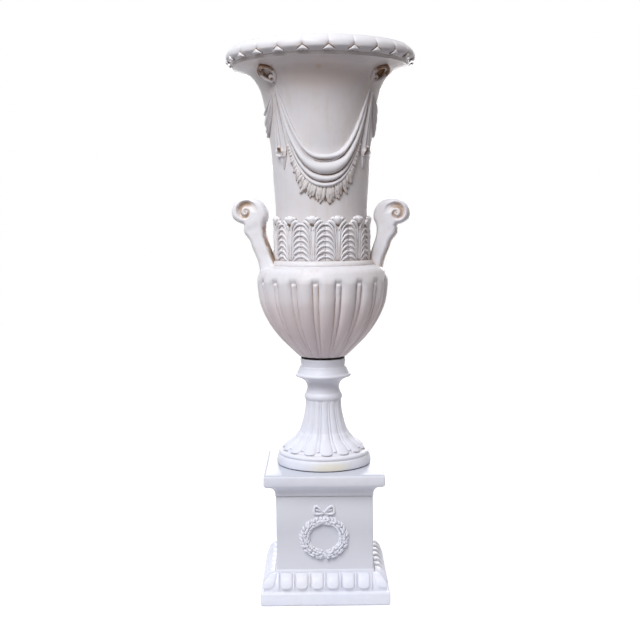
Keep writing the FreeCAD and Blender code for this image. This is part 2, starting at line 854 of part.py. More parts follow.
# shares of the swag's width from its top edge to its bottom edge where two folds meet,
# and the relief of each fold as a share of the swag's
fold_shares = (0.0, 0.16, 0.29, 0.57, 0.77, 1.0)
fold_relief_shares = (0.75, 0.15, 1.0, 0.85, 0.95)
fold_steep_share = 0.38         # the most a fold rises, as a share of its own width
swag_station_angles = (-83, -75, -63, -48, -32, -16, 0, 16, 32, 48, 63, 75, 83)
upper_hang_share = 2.45         # exponents that shape the hang of the upper and lower edge
lower_hang_share = 0.83
swag_tip_share = 0.15           # share of the relief that is left at the swag's tips


def swag_edges(share, top_drop, bottom_drop, end_drop):
    # Levels of the upper and lower edge at a share of the half angle.
    end = rim_top - end_drop
    top = rim_top - top_drop
    bottom = rim_top - bottom_drop
    upper = lerp(top, end, abs(share) ** upper_hang_share)
    lower = lerp(bottom, end, (1 - sqrt(1 - share ** 2)) ** lower_hang_share)
    return upper, lower


def fold_section(angle, upper, lower, relief):
    levels = [lerp(upper, lower, share) for share in fold_shares]
    seats = [at(bell_radius(level) + luting_gap, angle, level) for level in levels]
    out = at(1, angle, 0)
    thin = min(swag_base, relief)
    tops = [seat + out * thin for seat in seats]
    edges = [Part.makeLine(seats[0], tops[0])]
    for index, share in enumerate(fold_relief_shares):
        chord = tops[index].distanceToPoint(tops[index + 1])
        rise = min(relief * share, chord * fold_steep_share)
        middle = (tops[index] + tops[index + 1]) * 0.5 + out * rise
        edges.append(arc_edge(tops[index], middle, tops[index + 1]))
    edges.append(Part.makeLine(tops[-1], seats[-1]))
    for index in range(len(seats) - 1, 0, -1):
        edges.append(Part.makeLine(seats[index], seats[index - 1]))
    return Part.Wire(edges)


def make_swag(middle, half_angle, top_drop, bottom_drop, end_drop):
    wires = []
    for station in swag_station_angles:
        share = sin(radians(station))
        upper, lower = swag_edges(share, top_drop, bottom_drop, end_drop)
        relief = swag_relief * min(1, (upper - lower) / (bottom_drop - top_drop) + swag_tip_share)
        wires.append(fold_section(middle + half_angle * share, upper, lower, relief))
    return lofted(wires)


fringe_stations = 16
hem_hang_share = 1.6            # exponent that shapes the hang of the fringe's hem
# shares of the fringe's relief at its upper edge, middle and hem
fringe_relief_shares = (0.8, 1.0, 0.7)


def make_fringe(middle):
    wires = []
    for index in range(fringe_stations + 1):
        station = lerp(-1, 1, index / fringe_stations)
        angle = fringe_half_angle * station
        share = angle / knot_half_angle
        upper, lower = swag_edges(share, swag_top_drop, swag_bottom_drop, swag_end_drop)
        first = lower - fringe_gap
        last = rim_top - lerp(fringe_bottom_drop, fringe_end_drop, abs(station) ** hem_hang_share)
        levels = [first, (first + last) / 2, last]
        seats = [at(bell_radius(level) + luting_gap, middle + angle, level) for level in levels]
        out = at(fringe_relief, middle + angle, 0)
        tops = [seat + out * share for seat, share in zip(seats, fringe_relief_shares)]
        wires.append(closed_wire(seats + tops[::-1]))
    return lofted(wires)


# shares of the tail's length from its top, of its half angle and of its relief
tail_level_shares = (0.0, 0.19, 0.37, 0.60, 0.74, 0.84, 1.0)
tail_width_shares = (0.17, 0.32, 0.52, 0.81, 1.0, 0.65, 0.12)
tail_relief_shares = (0.5, 0.7, 0.85, 1.0, 1.0, 0.7, 0.3)


def make_tail(angle):
    wires = []
    top = rim_top - tail_top_drop
    for level_share, width_share, relief_share in zip(tail_level_shares, tail_width_shares,
                                                      tail_relief_shares):
        level = top - tail_length * level_share
        wires.append(wall_patch(level, angle, tail_half_angle * width_share,
                                bell_radius(level) + luting_gap, tail_relief * relief_share))
    return lofted(wires)


def make_knot(angle, bell):
    # A ring that leans on the flare, with a bead of ribbon at its lower edge.
    level = rim_top - knot_drop
    reach = knot_ring_thickness / 2 + luting_gap
    slope = atan2(bell_radius(level + reach) - bell_radius(level - reach), 2 * reach)
    out = at(cos(slope), angle, -sin(slope))
    down = at(-sin(slope), angle, -cos(slope))
    seat = at(bell_radius(level), angle, level)
    centre = seat + out * (reach + knot_clearance)
    ring = Part.makeTorus(knot_ring_radius, knot_ring_thickness / 2, centre, out)
    bead = Part.makeSphere(knot_bead_radius, centre + down * (knot_ring_radius - luting_gap))
    knot = ring.fuse(bead).cut(bell)
    return max(knot.Solids, key=lambda solid: solid.Volume)


def main():
    save("pedestal_shell", make_pedestal(), turned=False)
    save("base_tongues", make_base_tongues(), turned=False)
    save("base_darts", make_base_darts(), turned=False)
    save("wreath", make_wreath(), turned=False)
    save("bow", make_bow(), turned=False)
    save("felt_ring", make_felt_ring(), turned=False)
    save("foot", make_foot())
    save("joint_gasket", make_gasket())
    save("clamp_bolt", make_bolt())
    save("clamp_nut", make_nut())
    save("steel_washers", washer_pair(washer_radius, washer_thickness, (upper_washer, lower_washer)))
    save("rubber_washers", washer_pair(rubber_radius, rubber_thickness,
                                       (upper_rubber, lower_rubber)))
    block = bowl_block()
    bowl = make_bowl(block)
    bell = make_bell()
    save("bowl", bowl)
    save("bell", bell)
    save("rim_moulding", make_rim())
    save("rim_darts", make_rim_darts())
    save("leaf_collar", make_leaves())
    handle = make_handle(bell, block)
    save("handle_right", handle)
    other = handle.copy()
    other.rotate(origin, up, 180)
    save("handle_left", other)
    for name, middle in (("front", 0), ("back", 180)):
        save(name + "_swag", make_swag(middle, knot_half_angle, swag_top_drop, swag_bottom_drop,
                                       swag_end_drop))
        save(name + "_fringe", make_fringe(middle))
    for name, middle in (("right", 90), ("left", 270)):
        save(name + "_swag", make_swag(middle, side_swag_half_angle, side_swag_top_drop,
                                       side_swag_bottom_drop, side_swag_end_drop))
    tail_angles = (tail_angle, 180 - tail_angle, 180 + tail_angle, -tail_angle)
    save("swag_tails", Part.makeCompound([make_tail(angle) for angle in tail_angles]))
    knot_angles = (knot_half_angle, 180 - knot_half_angle, 180 + knot_half_angle,
                   -knot_half_angle)
    save("ribbon_knots", Part.makeCompound([make_knot(angle, bell) for angle in knot_angles]))
    print("height", rim_top)


main()
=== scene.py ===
import bmesh
import bpy
import numpy as np
from math import cos, pi, radians, sin, sqrt, tau
from mathutils import Matrix, Vector


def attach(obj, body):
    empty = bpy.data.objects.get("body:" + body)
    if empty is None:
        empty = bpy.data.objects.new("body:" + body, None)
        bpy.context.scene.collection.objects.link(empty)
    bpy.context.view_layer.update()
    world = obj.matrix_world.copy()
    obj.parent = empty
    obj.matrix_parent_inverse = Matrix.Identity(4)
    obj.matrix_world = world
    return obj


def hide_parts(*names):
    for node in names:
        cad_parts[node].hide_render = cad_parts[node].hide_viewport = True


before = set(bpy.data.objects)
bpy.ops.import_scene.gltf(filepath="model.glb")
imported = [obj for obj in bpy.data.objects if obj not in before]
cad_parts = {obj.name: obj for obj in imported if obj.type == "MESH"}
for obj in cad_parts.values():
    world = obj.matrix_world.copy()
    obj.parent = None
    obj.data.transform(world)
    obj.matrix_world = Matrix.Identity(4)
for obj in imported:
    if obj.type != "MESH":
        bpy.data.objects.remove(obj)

print("stage: packed frame loaded")
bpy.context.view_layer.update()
mm = 0.001                      # every size below is in millimetres
vaseTurn = 4.0                  # degrees the vase is turned on its pedestal
vaseMatrix = Matrix.Rotation(radians(vaseTurn), 4, "Z")


# mesh helpers

def atAngle(radius, angle, level):
    # angle in degrees from the front (-Y) towards the right handle (+X)
    return (radius * sin(radians(angle)), -radius * cos(radians(angle)), level)


def angleOf(points):
    return np.degrees(np.arctan2(points[:, 0], -points[:, 1]))


def ease(first, last, value):
    share = np.clip((value - first) / (last - first), 0, 1)
    return share * share * (3 - 2 * share)


def crown(across, power, flatness):
    # the rounded section of a lobe: 1 in its middle, 0 at both its edges
    return np.maximum(0, 1 - np.abs(across) ** power) ** flatness


def unit(vectors):
    return vectors / np.linalg.norm(vectors, axis=-1, keepdims=True)


def circle(count):
    return np.linspace(0, tau, count, endpoint=False)


def curveThrough(points, count):
    # a Catmull-Rom curve through 2-D or 3-D points, evenly spaced by the points' own index
    points = np.array(points, dtype=float)
    padded = np.vstack([2 * points[0] - points[1], points, 2 * points[-1] - points[-2]])
    place = np.linspace(0, len(points) - 1, count)
    span = np.minimum(place.astype(int), len(points) - 2)
    t = (place - span)[:, None]
    a, b, c, d = (padded[span + k] for k in range(4))
    return 0.5 * (2 * b + (c - a) * t + (2 * a - 5 * b + 4 * c - d) * t ** 2
                  + (3 * b - a - 3 * c + d) * t ** 3)


def evenly(points, count):
    # the same polyline with evenly spaced points
    points = np.array(points, dtype=float)
    steps = np.concatenate([[0], np.cumsum(np.linalg.norm(np.diff(points, axis=0), axis=1))])
    place = np.linspace(0, steps[-1], count)
    return np.stack([np.interp(place, steps, column) for column in points.T], axis=1)


def arcPoints(first, last, rise, count):
    # points of an arc from first to last whose middle bulges to the right by rise
    first, last = np.array(first, float), np.array(last, float)
    half = np.linalg.norm(last - first) / 2
    side = np.array([last[1] - first[1], first[0] - last[0]]) / (2 * half)
    radius = (half ** 2 + rise ** 2) / (2 * rise)
    centre = (first + last) / 2 + side * (rise - radius)
    swing = 2 * np.arctan(rise / half)
    angles = np.arctan2(side[1], side[0]) + swing * np.linspace(-1, 1, count)
    return centre + radius * np.stack([np.cos(angles), np.sin(angles)], axis=1)


def offsetProfile(profile, depth):
    run = unit(np.gradient(profile, axis=0))
    return profile + depth * np.stack([-run[:, 1], run[:, 0]], axis=1)


def gridFaces(rows, columns, closedRows=False, closedColumns=False):
    # quads of a grid whose vertices run column by column inside each row
    faces = []
    for r in range(rows if closedRows else rows - 1):
        for c in range(columns if closedColumns else columns - 1):
            r2, c2 = (r + 1) % rows, (c + 1) % columns
            faces.append((r * columns + c, r * columns + c2, r2 * columns + c2, r2 * columns + c))
    return faces


def tube(rows):
    # rows of points round a tube, with a face over each end
    count = len(rows[0])
    faces = gridFaces(len(rows), count, closedColumns=True)
    faces.append(tuple(range(count)))
    faces.append(tuple(range((len(rows) - 1) * count, len(rows) * count)))
    return np.vstack(rows), faces


def shell(front, back, rows, columns):
    # a front grid and a back grid of the same size, closed round their border
    count = rows * columns
    faces = gridFaces(rows, columns)
    faces += [tuple(count + k for k in face[::-1]) for face in faces]
    border = (list(range(columns)) + [r * columns + columns - 1 for r in range(1, rows)]
              + [(rows - 1) * columns + c for c in range(columns - 2, -1, -1)]
              + [r * columns for r in range(rows - 2, 0, -1)])
    faces += [(first, last, count + last, count + first)
              for first, last in zip(border, border[1:] + border[:1])]
    return np.vstack([front, back]), faces


def joined(parts):
    # several pairs of points and faces as one pair
    faces, start = [], 0
    for points, someFaces in parts:
        faces += [tuple(start + k for k in face) for face in someFaces]
        start += len(points)
    return np.vstack([points for points, someFaces in parts]), faces


def meshFrom(name, points, faces, turned=True, scale=mm):
    # a mesh from points in millimetres; what belongs to the vase turns with it
    mesh = bpy.data.meshes.new(name)
    mesh.from_pydata([tuple(p) for p in np.asarray(points, dtype=float) * scale], [], faces)
    if turned:
        mesh.transform(vaseMatrix)
    mesh.validate()
    return mesh


def cleaned(mesh, weld=0.00002):
    # merge doubled points and turn every face outwards
    work = bmesh.new()
    work.from_mesh(mesh)
    bmesh.ops.remove_doubles(work, verts=work.verts, dist=weld)
    bmesh.ops.dissolve_degenerate(work, dist=weld / 4, edges=work.edges)
    bmesh.ops.recalc_face_normals(work, faces=work.faces)
    work.to_mesh(mesh)
    work.free()
    return mesh


def merged(name, meshes):
    work = bmesh.new()
    for mesh in meshes:
        work.from_mesh(mesh)
    result = bpy.data.meshes.new(name)
    work.to_mesh(result)
    work.free()
    return result


def addObject(name, data):
    piece = bpy.data.objects.new(name, data)
    bpy.context.scene.collection.objects.link(piece)
    return piece


def plainMesh(piece):
    # the mesh that a helper object's modifiers make; the helper itself goes
    graph = bpy.context.evaluated_depsgraph_get()
    mesh = bpy.data.meshes.new_from_object(piece.evaluated_get(graph), depsgraph=graph)
    bpy.data.objects.remove(piece)
    return mesh


def readAll(items, key, width=3, kind=float):
    # one property of every vertex, edge or value as an array
    values = np.empty(len(items) * width, dtype=kind)
    items.foreach_get(key, values)
    return values.reshape(-1, width)


def markHollows(mesh, reach):
    # how far each point lies below the smoothed surface round it, in millimetres
    points = readAll(mesh.vertices, "co") / mm
    count = len(points)
    first, second = readAll(mesh.edges, "vertices", 2, np.int64).T
    degree = np.bincount(np.concatenate([first, second]), minlength=count)
    degree = np.maximum(degree, 1)[:, None]
    smooth = points.copy()
    for step in range(reach):
        total = np.stack([np.bincount(first, smooth[second, k], count)
                          + np.bincount(second, smooth[first, k], count)
                          for k in range(3)], axis=1)
        smooth = 0.5 * smooth + 0.5 * total / degree
    hollow = np.einsum("ij,ij->i", smooth - points, readAll(mesh.vertices, "normal"))
    layer = mesh.attributes.new("hollow", "FLOAT", "POINT")
    layer.data.foreach_set("value", hollow.astype(np.float32))


def deepen(mesh, hollowAt):
    # adds hollow marks that are known from the shape, which mostly carry painted shade: hollowAt
    # takes places in mm, before the turn
    turn = np.array(vaseMatrix)[:3, :3]
    known = hollowAt(readAll(mesh.vertices, "co") / mm @ turn)
    layer = mesh.attributes["hollow"]
    values = readAll(layer.data, "value", 1, np.float32)[:, 0]
    layer.data.foreach_set("value", np.maximum(values, known).astype(np.float32))


def addPiece(name, mesh, cadNode, material, reach, slot="relief_glaze", body="vase", hollowAt=None):
    # one finished piece, which is seen instead of one CAD node
    piece = addObject(name, mesh)
    mesh.materials.clear()
    mesh.materials.append(material)
    mesh.shade_smooth()
    markHollows(mesh, reach)
    if hollowAt:
        deepen(mesh, hollowAt)
    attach(piece, body)
    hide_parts(cadNode)
    print("  piece", piece.name, len(mesh.polygons), "faces")


# node trees

def fill(tree, made, inputs):
    # sets constants and links outputs, by the number or the name of each input
    for key, value in inputs.items():
        if isinstance(value, bpy.types.NodeSocket):
            tree.links.new(value, made.inputs[key])
        else:
            made.inputs[key].default_value = value


def node(tree, kind, inputs=None, out=0, **settings):
    # a new node with its settings and inputs; gives back one of its outputs
    made = tree.nodes.new(kind)
    for key, value in settings.items():
        setattr(made, key, value)
    fill(tree, made, inputs or {})
    return made.outputs[out]


def mathNode(tree, operation, first, second):
    return node(tree, "ShaderNodeMath", {0: first, 1: second}, operation=operation)


def newTree(name, inputs):
    tree = bpy.data.node_groups.new(name, "GeometryNodeTree")
    for label, kind, value in [("Geometry", "Geometry", None)] + inputs:
        socket = tree.interface.new_socket(label, in_out="INPUT", socket_type="NodeSocket" + kind)
        if value is not None:
            socket.default_value = value
    tree.interface.new_socket("Geometry", in_out="OUTPUT", socket_type="NodeSocketGeometry")
    return tree, tree.nodes.new("NodeGroupInput").outputs


def closeTree(tree, start, last):
    # every tree ends in Realize Instances, a weld of shared borders if it has one, and Set Material
    last = node(tree, "GeometryNodeRealizeInstances", {"Geometry": last})
    if "Weld" in start:
        last = node(tree, "GeometryNodeMergeByDistance",
                    {"Geometry": last, "Distance": start["Weld"]})
    last = node(tree, "GeometryNodeSetMaterial", {"Geometry": last, "Material": start["Material"]})
    fill(tree, tree.nodes.new("NodeGroupOutput"), {"Geometry": last})
    return tree


def makeRoundTree():
    # repeats its own geometry round the Z axis and welds the borders of neighbours
    tree, start = newTree("roundTheAxis", [
        ("Count", "Int", 12), ("First Angle", "Float", 0.0), ("Weld", "Float", 0.00001),
        ("Material", "Material", None)])
    points = node(tree, "GeometryNodePoints", {"Count": start["Count"]})
    step = mathNode(tree, "DIVIDE", tau, start["Count"])
    angle = mathNode(tree, "MULTIPLY", node(tree, "GeometryNodeInputIndex"), step)
    angle = mathNode(tree, "ADD", angle, start["First Angle"])
    turn = node(tree, "ShaderNodeCombineXYZ", {"Z": angle})
    rotation = node(tree, "FunctionNodeEulerToRotation", {0: turn})
    copies = node(tree, "GeometryNodeInstanceOnPoints",
                  {"Points": points, "Instance": start["Geometry"], "Rotation": rotation})
    return closeTree(tree, start, copies)


def makeSpreadTree():
    # sets copies of a small shape on points that carry their own turn and size
    tree, start = newTree("spreadOnPoints", [
        ("Shape", "Object", None), ("Least Size", "Float", 0.9), ("Most Size", "Float", 1.1),
        ("Seed", "Int", 3), ("Material", "Material", None)])
    shape = node(tree, "GeometryNodeObjectInfo", {"Object": start["Shape"]}, "Geometry")
    turn, size = (node(tree, "GeometryNodeInputNamedAttribute", {"Name": label}, "Attribute",
                       data_type="FLOAT_VECTOR") for label in ("turn", "size"))
    rotation = node(tree, "FunctionNodeEulerToRotation", {0: turn})
    jitter = node(tree, "FunctionNodeRandomValue",
                  {2: start["Least Size"], 3: start["Most Size"], "Seed": start["Seed"]}, 1,
                  data_type="FLOAT")
    scale = node(tree, "ShaderNodeVectorMath", {0: size, "Scale": jitter}, operation="SCALE")
    copies = node(tree, "GeometryNodeInstanceOnPoints",
                  {"Points": start["Geometry"], "Instance": shape, "Rotation": rotation,
                   "Scale": scale})
    return closeTree(tree, start, copies)


def grown(name, mesh, tree, values):
    # the plain mesh that a tree makes of a mesh, with the tree's inputs set by name
    helper = addObject(name, mesh)
    modifier = helper.modifiers.new("grow", "NODES")
    modifier.node_group = tree
    for item in tree.interface.items_tree:
        if item.in_out == "INPUT" and item.name in values:
            modifier[item.identifier] = values[item.name]
    return plainMesh(helper)


def ringOf(name, mesh, count, first=0.0, weld=0.0):
    # count copies of a mesh round the Z axis, turned by first degrees
    return grown(name, mesh, roundTree, {"Count": count, "First Angle": radians(first),
                                         "Weld": weld, "Material": reliefGlaze})


def spread(name, shape, spots, least, most, seed):
    # copies of a small mesh; a spot is a place in mm, three axes as rows and a size
    mesh = meshFrom(name, [place for place, axes, size in spots], [], turned=False)
    turns, sizes = (mesh.attributes.new(label, "FLOAT_VECTOR", "POINT")
                    for label in ("turn", "size"))
    for index, (place, axes, size) in enumerate(spots):
        turns.data[index].vector = Matrix(axes).transposed().to_euler("XYZ")
        sizes.data[index].vector = size
    original = addObject(shape.name, shape)
    copies = grown(name, mesh, spreadTree, {"Shape": original, "Least Size": least,
                                            "Most Size": most, "Seed": seed,
                                            "Material": reliefGlaze})
    bpy.data.objects.remove(original)
    return copies


def turnedPiece(name, cadNode, profile, count, angles, material, reach, first=0.0,
                radiusAt=None, hollowAt=None):
    # one slice of a turned body, repeated count times; radiusAt shapes its surface
    points = [atAngle(radiusAt(row, radius, level, angle) if radiusAt else radius, angle, level)
              for row, (radius, level) in enumerate(profile) for angle in angles]
    mesh = meshFrom(name, points, gridFaces(len(profile), len(angles), True), turned=False)
    mesh = cleaned(ringOf(name, mesh, count, first, 0.00001))
    addPiece(name, mesh, cadNode, material, reach, "white_glaze", hollowAt=hollowAt)


roundTree = makeRoundTree()
spreadTree = makeSpreadTree()


# materials

glazeLook = {
    "white": (0.785, 0.745, 0.74, 1), "cool": (0.745, 0.735, 0.765, 1),
    "warm": (0.66, 0.585, 0.53, 1), "stainAndShade": (0.27, 0.145, 0.07, 1),
    "cream": (0.84, 0.80, 0.66, 1), "roughness": 0.32, "specular": 0.15,
    "coat": 0.10, "coatRoughness": 0.10, "waveStrength": 0.22, "waveHeight": 2.2,
    "cloudScale": 7.0, "grainScale": 60.0, "streakScale": 70.0, "patchyScale": 34.0,
    "waveScale": 42.0, "creaseReach": 12.0,
}
brightLook = dict(glazeLook, white=(0.84, 0.825, 0.835, 1), cool=(0.81, 0.815, 0.86, 1),
                  warm=(0.68, 0.60, 0.55, 1))
clothLook = dict(brightLook, white=(0.735, 0.73, 0.75, 1), cool=(0.72, 0.725, 0.77, 1))
fringeLook = dict(clothLook, white=(0.745, 0.715, 0.71, 1), cool=(0.70, 0.675, 0.67, 1),
                  warm=(0.61, 0.52, 0.45, 1), stainAndShade=(0.36, 0.235, 0.15, 1))
bowlLook = dict(glazeLook, white=(0.785, 0.77, 0.79, 1), cool=(0.755, 0.755, 0.80, 1),
                warm=(0.66, 0.56, 0.51, 1))
scrollLook = dict(brightLook, white=(0.86, 0.86, 0.885, 1), cool=(0.83, 0.84, 0.89, 1),
                  warm=(0.68, 0.53, 0.42, 1), stainAndShade=(0.34, 0.21, 0.125, 1))
blueLook = dict(glazeLook, white=(0.80, 0.815, 0.875, 1), cool=(0.78, 0.80, 0.89, 1),
                warm=(0.70, 0.66, 0.66, 1))


def shaderTree(name):
    material = bpy.data.materials.new(name)
    material.use_nodes = True
    tree = material.node_tree
    where = node(tree, "ShaderNodeTexCoord", out="Object")
    return material, tree, tree.nodes["Principled BSDF"], where


def noiseNode(tree, vector, scale, detail, roughness=0.5):
    return node(tree, "ShaderNodeTexNoise", {"Vector": vector, "Scale": scale, "Detail": detail,
                                             "Roughness": roughness}, "Fac")


def rampNode(tree, value, low, high, first=0.0, last=1.0):
    # from first to last while the value goes from low to high, with soft ends
    return node(tree, "ShaderNodeMapRange",
                {"Value": value, "From Min": low, "From Max": high, "To Min": first,
                 "To Max": last}, "Result", interpolation_type="SMOOTHSTEP")


def mixColour(tree, factor, first, second, blend="MIX"):
    return node(tree, "ShaderNodeMix", {0: factor, 6: first, 7: second}, 2, data_type="RGBA",
                blend_type=blend)


def bumpNode(tree, height, strength, distance):
    return node(tree, "ShaderNodeBump", {"Height": height, "Strength": strength,
                                         "Distance": distance * mm})


def spotMask(tree, vector, centre, radii, edge):
    # a soft patch round one place of the surface, in Object coordinates
    inside = node(tree, "ShaderNodeMapping",
                  {"Vector": vector, "Location": [v * mm for v in centre],
                   "Scale": [v * mm for v in radii]}, vector_type="TEXTURE")
    ball = node(tree, "ShaderNodeTexGradient", {0: inside}, "Fac", gradient_type="SPHERICAL")
    return rampNode(tree, ball, 0, edge)


def glazeMaterial(name, stainAndShade=1.0, hollowFull=1.0, streaks=0.0, patches=(), look=glazeLook,
                  creases=0.85):
    # white glaze: faint clouds, brown in the hollows that is partly stain and partly painted shade,
    # a wavy clear top
    material, tree, shader, where = shaderTree(name)
    clouds = rampNode(tree, noiseNode(tree, where, look["cloudScale"], 3.0), 0.35, 0.7)
    colour = mixColour(tree, clouds, look["white"], look["cool"])
    grain = noiseNode(tree, where, look["grainScale"], 4.0, 0.65)
    colour = mixColour(tree, rampNode(tree, grain, 0.42, 0.72, 0, 0.16), colour, look["warm"])
    if streaks:
        tall = node(tree, "ShaderNodeMapping", {"Vector": where, "Scale": (1, 1, 0.06)})
        runs = noiseNode(tree, tall, look["streakScale"], 3.0, 0.6)
        colour = mixColour(tree, rampNode(tree, runs, 0.45, 0.75, 0, streaks), colour, look["warm"])
    hollow = node(tree, "ShaderNodeAttribute", out="Fac", attribute_name="hollow")
    deep = rampNode(tree, hollow, 0.04 * hollowFull, hollowFull)
    # painted shade: ambient occlusion browns the creases, weighted by creases
    shut = node(tree, "ShaderNodeAmbientOcclusion", {"Distance": look["creaseReach"] * mm}, "AO",
                samples=6)
    closed = mathNode(tree, "MULTIPLY", rampNode(tree, shut, 0.75, 0.25), creases)
    patchy = rampNode(tree, noiseNode(tree, where, look["patchyScale"], 4.0, 0.6), 0.3, 0.6, 0.5)
    # the share of brown in the hollows, partly stain and partly painted shade
    thin = mathNode(tree, "MULTIPLY", mathNode(tree, "MAXIMUM", deep, closed), patchy)
    core = rampNode(tree, thin, 0.42, 0.95)
    for share, amount, tint in ((thin, 0.95, "warm"), (core, 0.85, "stainAndShade")):
        share = mathNode(tree, "MULTIPLY", share, min(1.0, amount * stainAndShade))
        colour = mixColour(tree, share, colour, look[tint])
    for centre, radii, edge, tint, strength in patches:
        mask = spotMask(tree, where, centre, radii, edge)
        colour = mixColour(tree, mathNode(tree, "MULTIPLY", mask, strength), colour, tint)
    rough = look["roughness"]
    ripple = mathNode(tree, "ADD", noiseNode(tree, where, look["waveScale"], 2.0, 0.45),
                      mathNode(tree, "MULTIPLY", grain, 0.10))
    waves = bumpNode(tree, ripple, look["waveStrength"], look["waveHeight"])
    fill(tree, shader, {
        "Base Color": colour, "Specular IOR Level": look["specular"],
        "Roughness": rampNode(tree, grain, 0.3, 0.75, rough - 0.04, rough + 0.10),
        "Coat Weight": look["coat"], "Coat Roughness": look["coatRoughness"],
        "Normal": waves, "Coat Normal": waves})
    return material


def plainMaterial(name, first, second, scale, roughness, metallic, bumpSize):
    material, tree, shader, where = shaderTree(name)
    grain = noiseNode(tree, where, scale, 5.0, 0.65)
    fill(tree, shader, {
        "Base Color": mixColour(tree, rampNode(tree, grain, 0.35, 0.7), first, second),
        "Roughness": rampNode(tree, grain, 0.3, 0.7, roughness - 0.08, roughness + 0.08),
        "Metallic": metallic, "Specular IOR Level": 0.5 if metallic else 0.12,
        "Normal": bumpNode(tree, grain, 0.5, bumpSize)})
    return material


# patches: centre, radii, softness, colour and strength
creamPatch = ((15, -98, 270), (66, 34, 17), 0.8, glazeLook["cream"], 0.8)
ochreSpot = ((-3, -132, 1058), (11, 14, 9), 0.5, (0.62, 0.42, 0.16, 1), 0.55)
dieShade = ((0, 0, 140), (9000, 9000, 80), 0.1, (0.636, 0.648, 0.697, 1), 0.95)
topShade = ((0, 0, 263.5), (9000, 9000, 3), 0.3, (0.56, 0.585, 0.66, 1), 0.9)
# painted shade: a warm pink tint over the lower, down-facing part of the bowl
bowlPaintedShade = ((0, 0, 530), (9000, 9000, 120), 0.8, (0.80, 0.695, 0.69, 1), 0.8)
# painted shade: a warm tint on the front of the bell under the rim's overhang
rimPaintedShade = ((0, -110, 1045), (110, 80, 50), 0.8, (0.78, 0.69, 0.665, 1), 0.85)
bodyGlaze = glazeMaterial("bodyGlaze", 0.5, 1.0, 0.28, [rimPaintedShade, ochreSpot], creases=0.35)
bowlGlaze = glazeMaterial("bowlGlaze", 0.8, 1.6, 0.32, [bowlPaintedShade], bowlLook, 0.5)
footGlaze = glazeMaterial("footGlaze", 0.3, 1.7, 0.0, [creamPatch], blueLook, 0.65)
reliefGlaze = glazeMaterial("reliefGlaze", 0.9, 0.9, look=clothLook)
fringeGlaze = glazeMaterial("fringeGlaze", 1.1, 0.6, look=fringeLook)
knotGlaze = glazeMaterial("knotGlaze", 1.3, 0.9)
leafGlaze = glazeMaterial("leafGlaze", 0.85, 0.7, look=brightLook)
handleGlaze = glazeMaterial("handleGlaze", 0.82, 1.5, look=scrollLook)
wreathGlaze = glazeMaterial("wreathGlaze", 0.35, 0.8, look=blueLook, creases=0.6)
pedestalGlaze = glazeMaterial("pedestalGlaze", 0.25, 2.0, 0.0, [dieShade, topShade], blueLook)

blackRubber = plainMaterial("blackRubber", (0.006, 0.005, 0.005, 1), (0.02, 0.014, 0.010, 1),
                            180.0, 0.7, 0.0, 0.15)
zincSteel = plainMaterial("zincSteel", (0.60, 0.60, 0.58, 1), (0.48, 0.49, 0.50, 1),
                          240.0, 0.35, 1.0, 0.05)
darkFelt = plainMaterial("darkFelt", (0.05, 0.045, 0.04, 1), (0.12, 0.10, 0.085, 1),
                         700.0, 0.9, 0.0, 0.4)
print("stage: materials")


# the vase's body: profiles shared by what is luted on it

bell = {
    "waistRadius": 93.5, "soffitRadius": 176.0, "bottom": 685.3, "soffit": 1071.0,
    "top": 1107.8, "wall": 9.0, "bandRadius": 104.0, "bandBottom": 675.5, "lipRadius": 177.0,
    "lipDrop": 12.0, "lipRise": 4.4, "slices": 24,
    "shares": ((0.0, 0.0), (0.0, 0.15), (0.002, 0.27), (0.044, 0.41), (0.082, 0.555),
               (0.125, 0.63), (0.215, 0.77), (0.314, 0.868), (0.394, 0.909), (0.48, 0.94),
               (0.57, 0.96), (0.65, 0.9725), (0.80, 0.985), (1.0, 1.0)),
}


def bellProfile(count):
    points = [(bell["waistRadius"] + x * (bell["soffitRadius"] - bell["waistRadius"]),
               bell["bottom"] + z * (bell["soffit"] - bell["bottom"])) for x, z in bell["shares"]]
    return evenly(curveThrough(points, 500), count)


bellFine = bellProfile(900)
wallLean = np.gradient(bellFine[:, 0], bellFine[:, 1])


def wallRadius(level):
    return np.interp(level, bellFine[:, 1], bellFine[:, 0])


def fromShares(piece, radius, bottom, height, least=0.0):
    # a profile from a piece's shares of its height and of its radius
    return [(least + radius * r, bottom + height * z)
            for z, r in zip(piece["levelShares"], piece["radiusShares"])]


def makeBell():
    outer = bellProfile(150)
    inner = offsetProfile(outer, bell["wall"])
    edge, low = bell["lipRadius"], bell["bandBottom"]
    lip = bell["top"] - bell["lipDrop"]
    profile = np.vstack([
        arcPoints((bell["bandRadius"], low), (bell["bandRadius"] - 6.5, bell["bottom"]), 2.2, 12),
        [(bell["waistRadius"] + 2.5, bell["bottom"] + 0.2)], outer[1:],
        [(edge, bell["soffit"]), (edge, lip)],
        arcPoints((edge, lip), (inner[-1][0], lip), bell["lipRise"], 14)[1:],
        inner[::-1][::2], [(bell["waistRadius"] - bell["wall"], low)]])
    half = 180 / bell["slices"]
    turnedPiece("bellBody", "bell", profile, bell["slices"], np.linspace(-half, half, 9),
                bodyGlaze, 6)


# rim: eggs with a small dart under every joint

rim = {"count": 24, "radius": 190.4, "drop": 31.3, "inner": 177.2, "eggDepth": 4.2, "turn": 8.3,
       "levelShares": (0.0, 0.06, 0.13, 0.20, 0.28, 0.37, 0.50, 0.65, 0.80, 0.92, 1.0),
       "radiusShares": (0.934, 0.948, 0.967, 0.984, 0.996, 1.0, 0.999, 0.991, 0.972, 0.948, 0.925)}
rimDart = {"width": 24.0, "height": 8.8, "lift": 1.6, "baseRadius": 190.0, "tipRadius": 189.6,
           "rows": 9, "columns": 15, "crown": 4.0, "depth": 9.0}
rimPitch = 360 / rim["count"]
rimBottom = bell["top"] - rim["drop"]


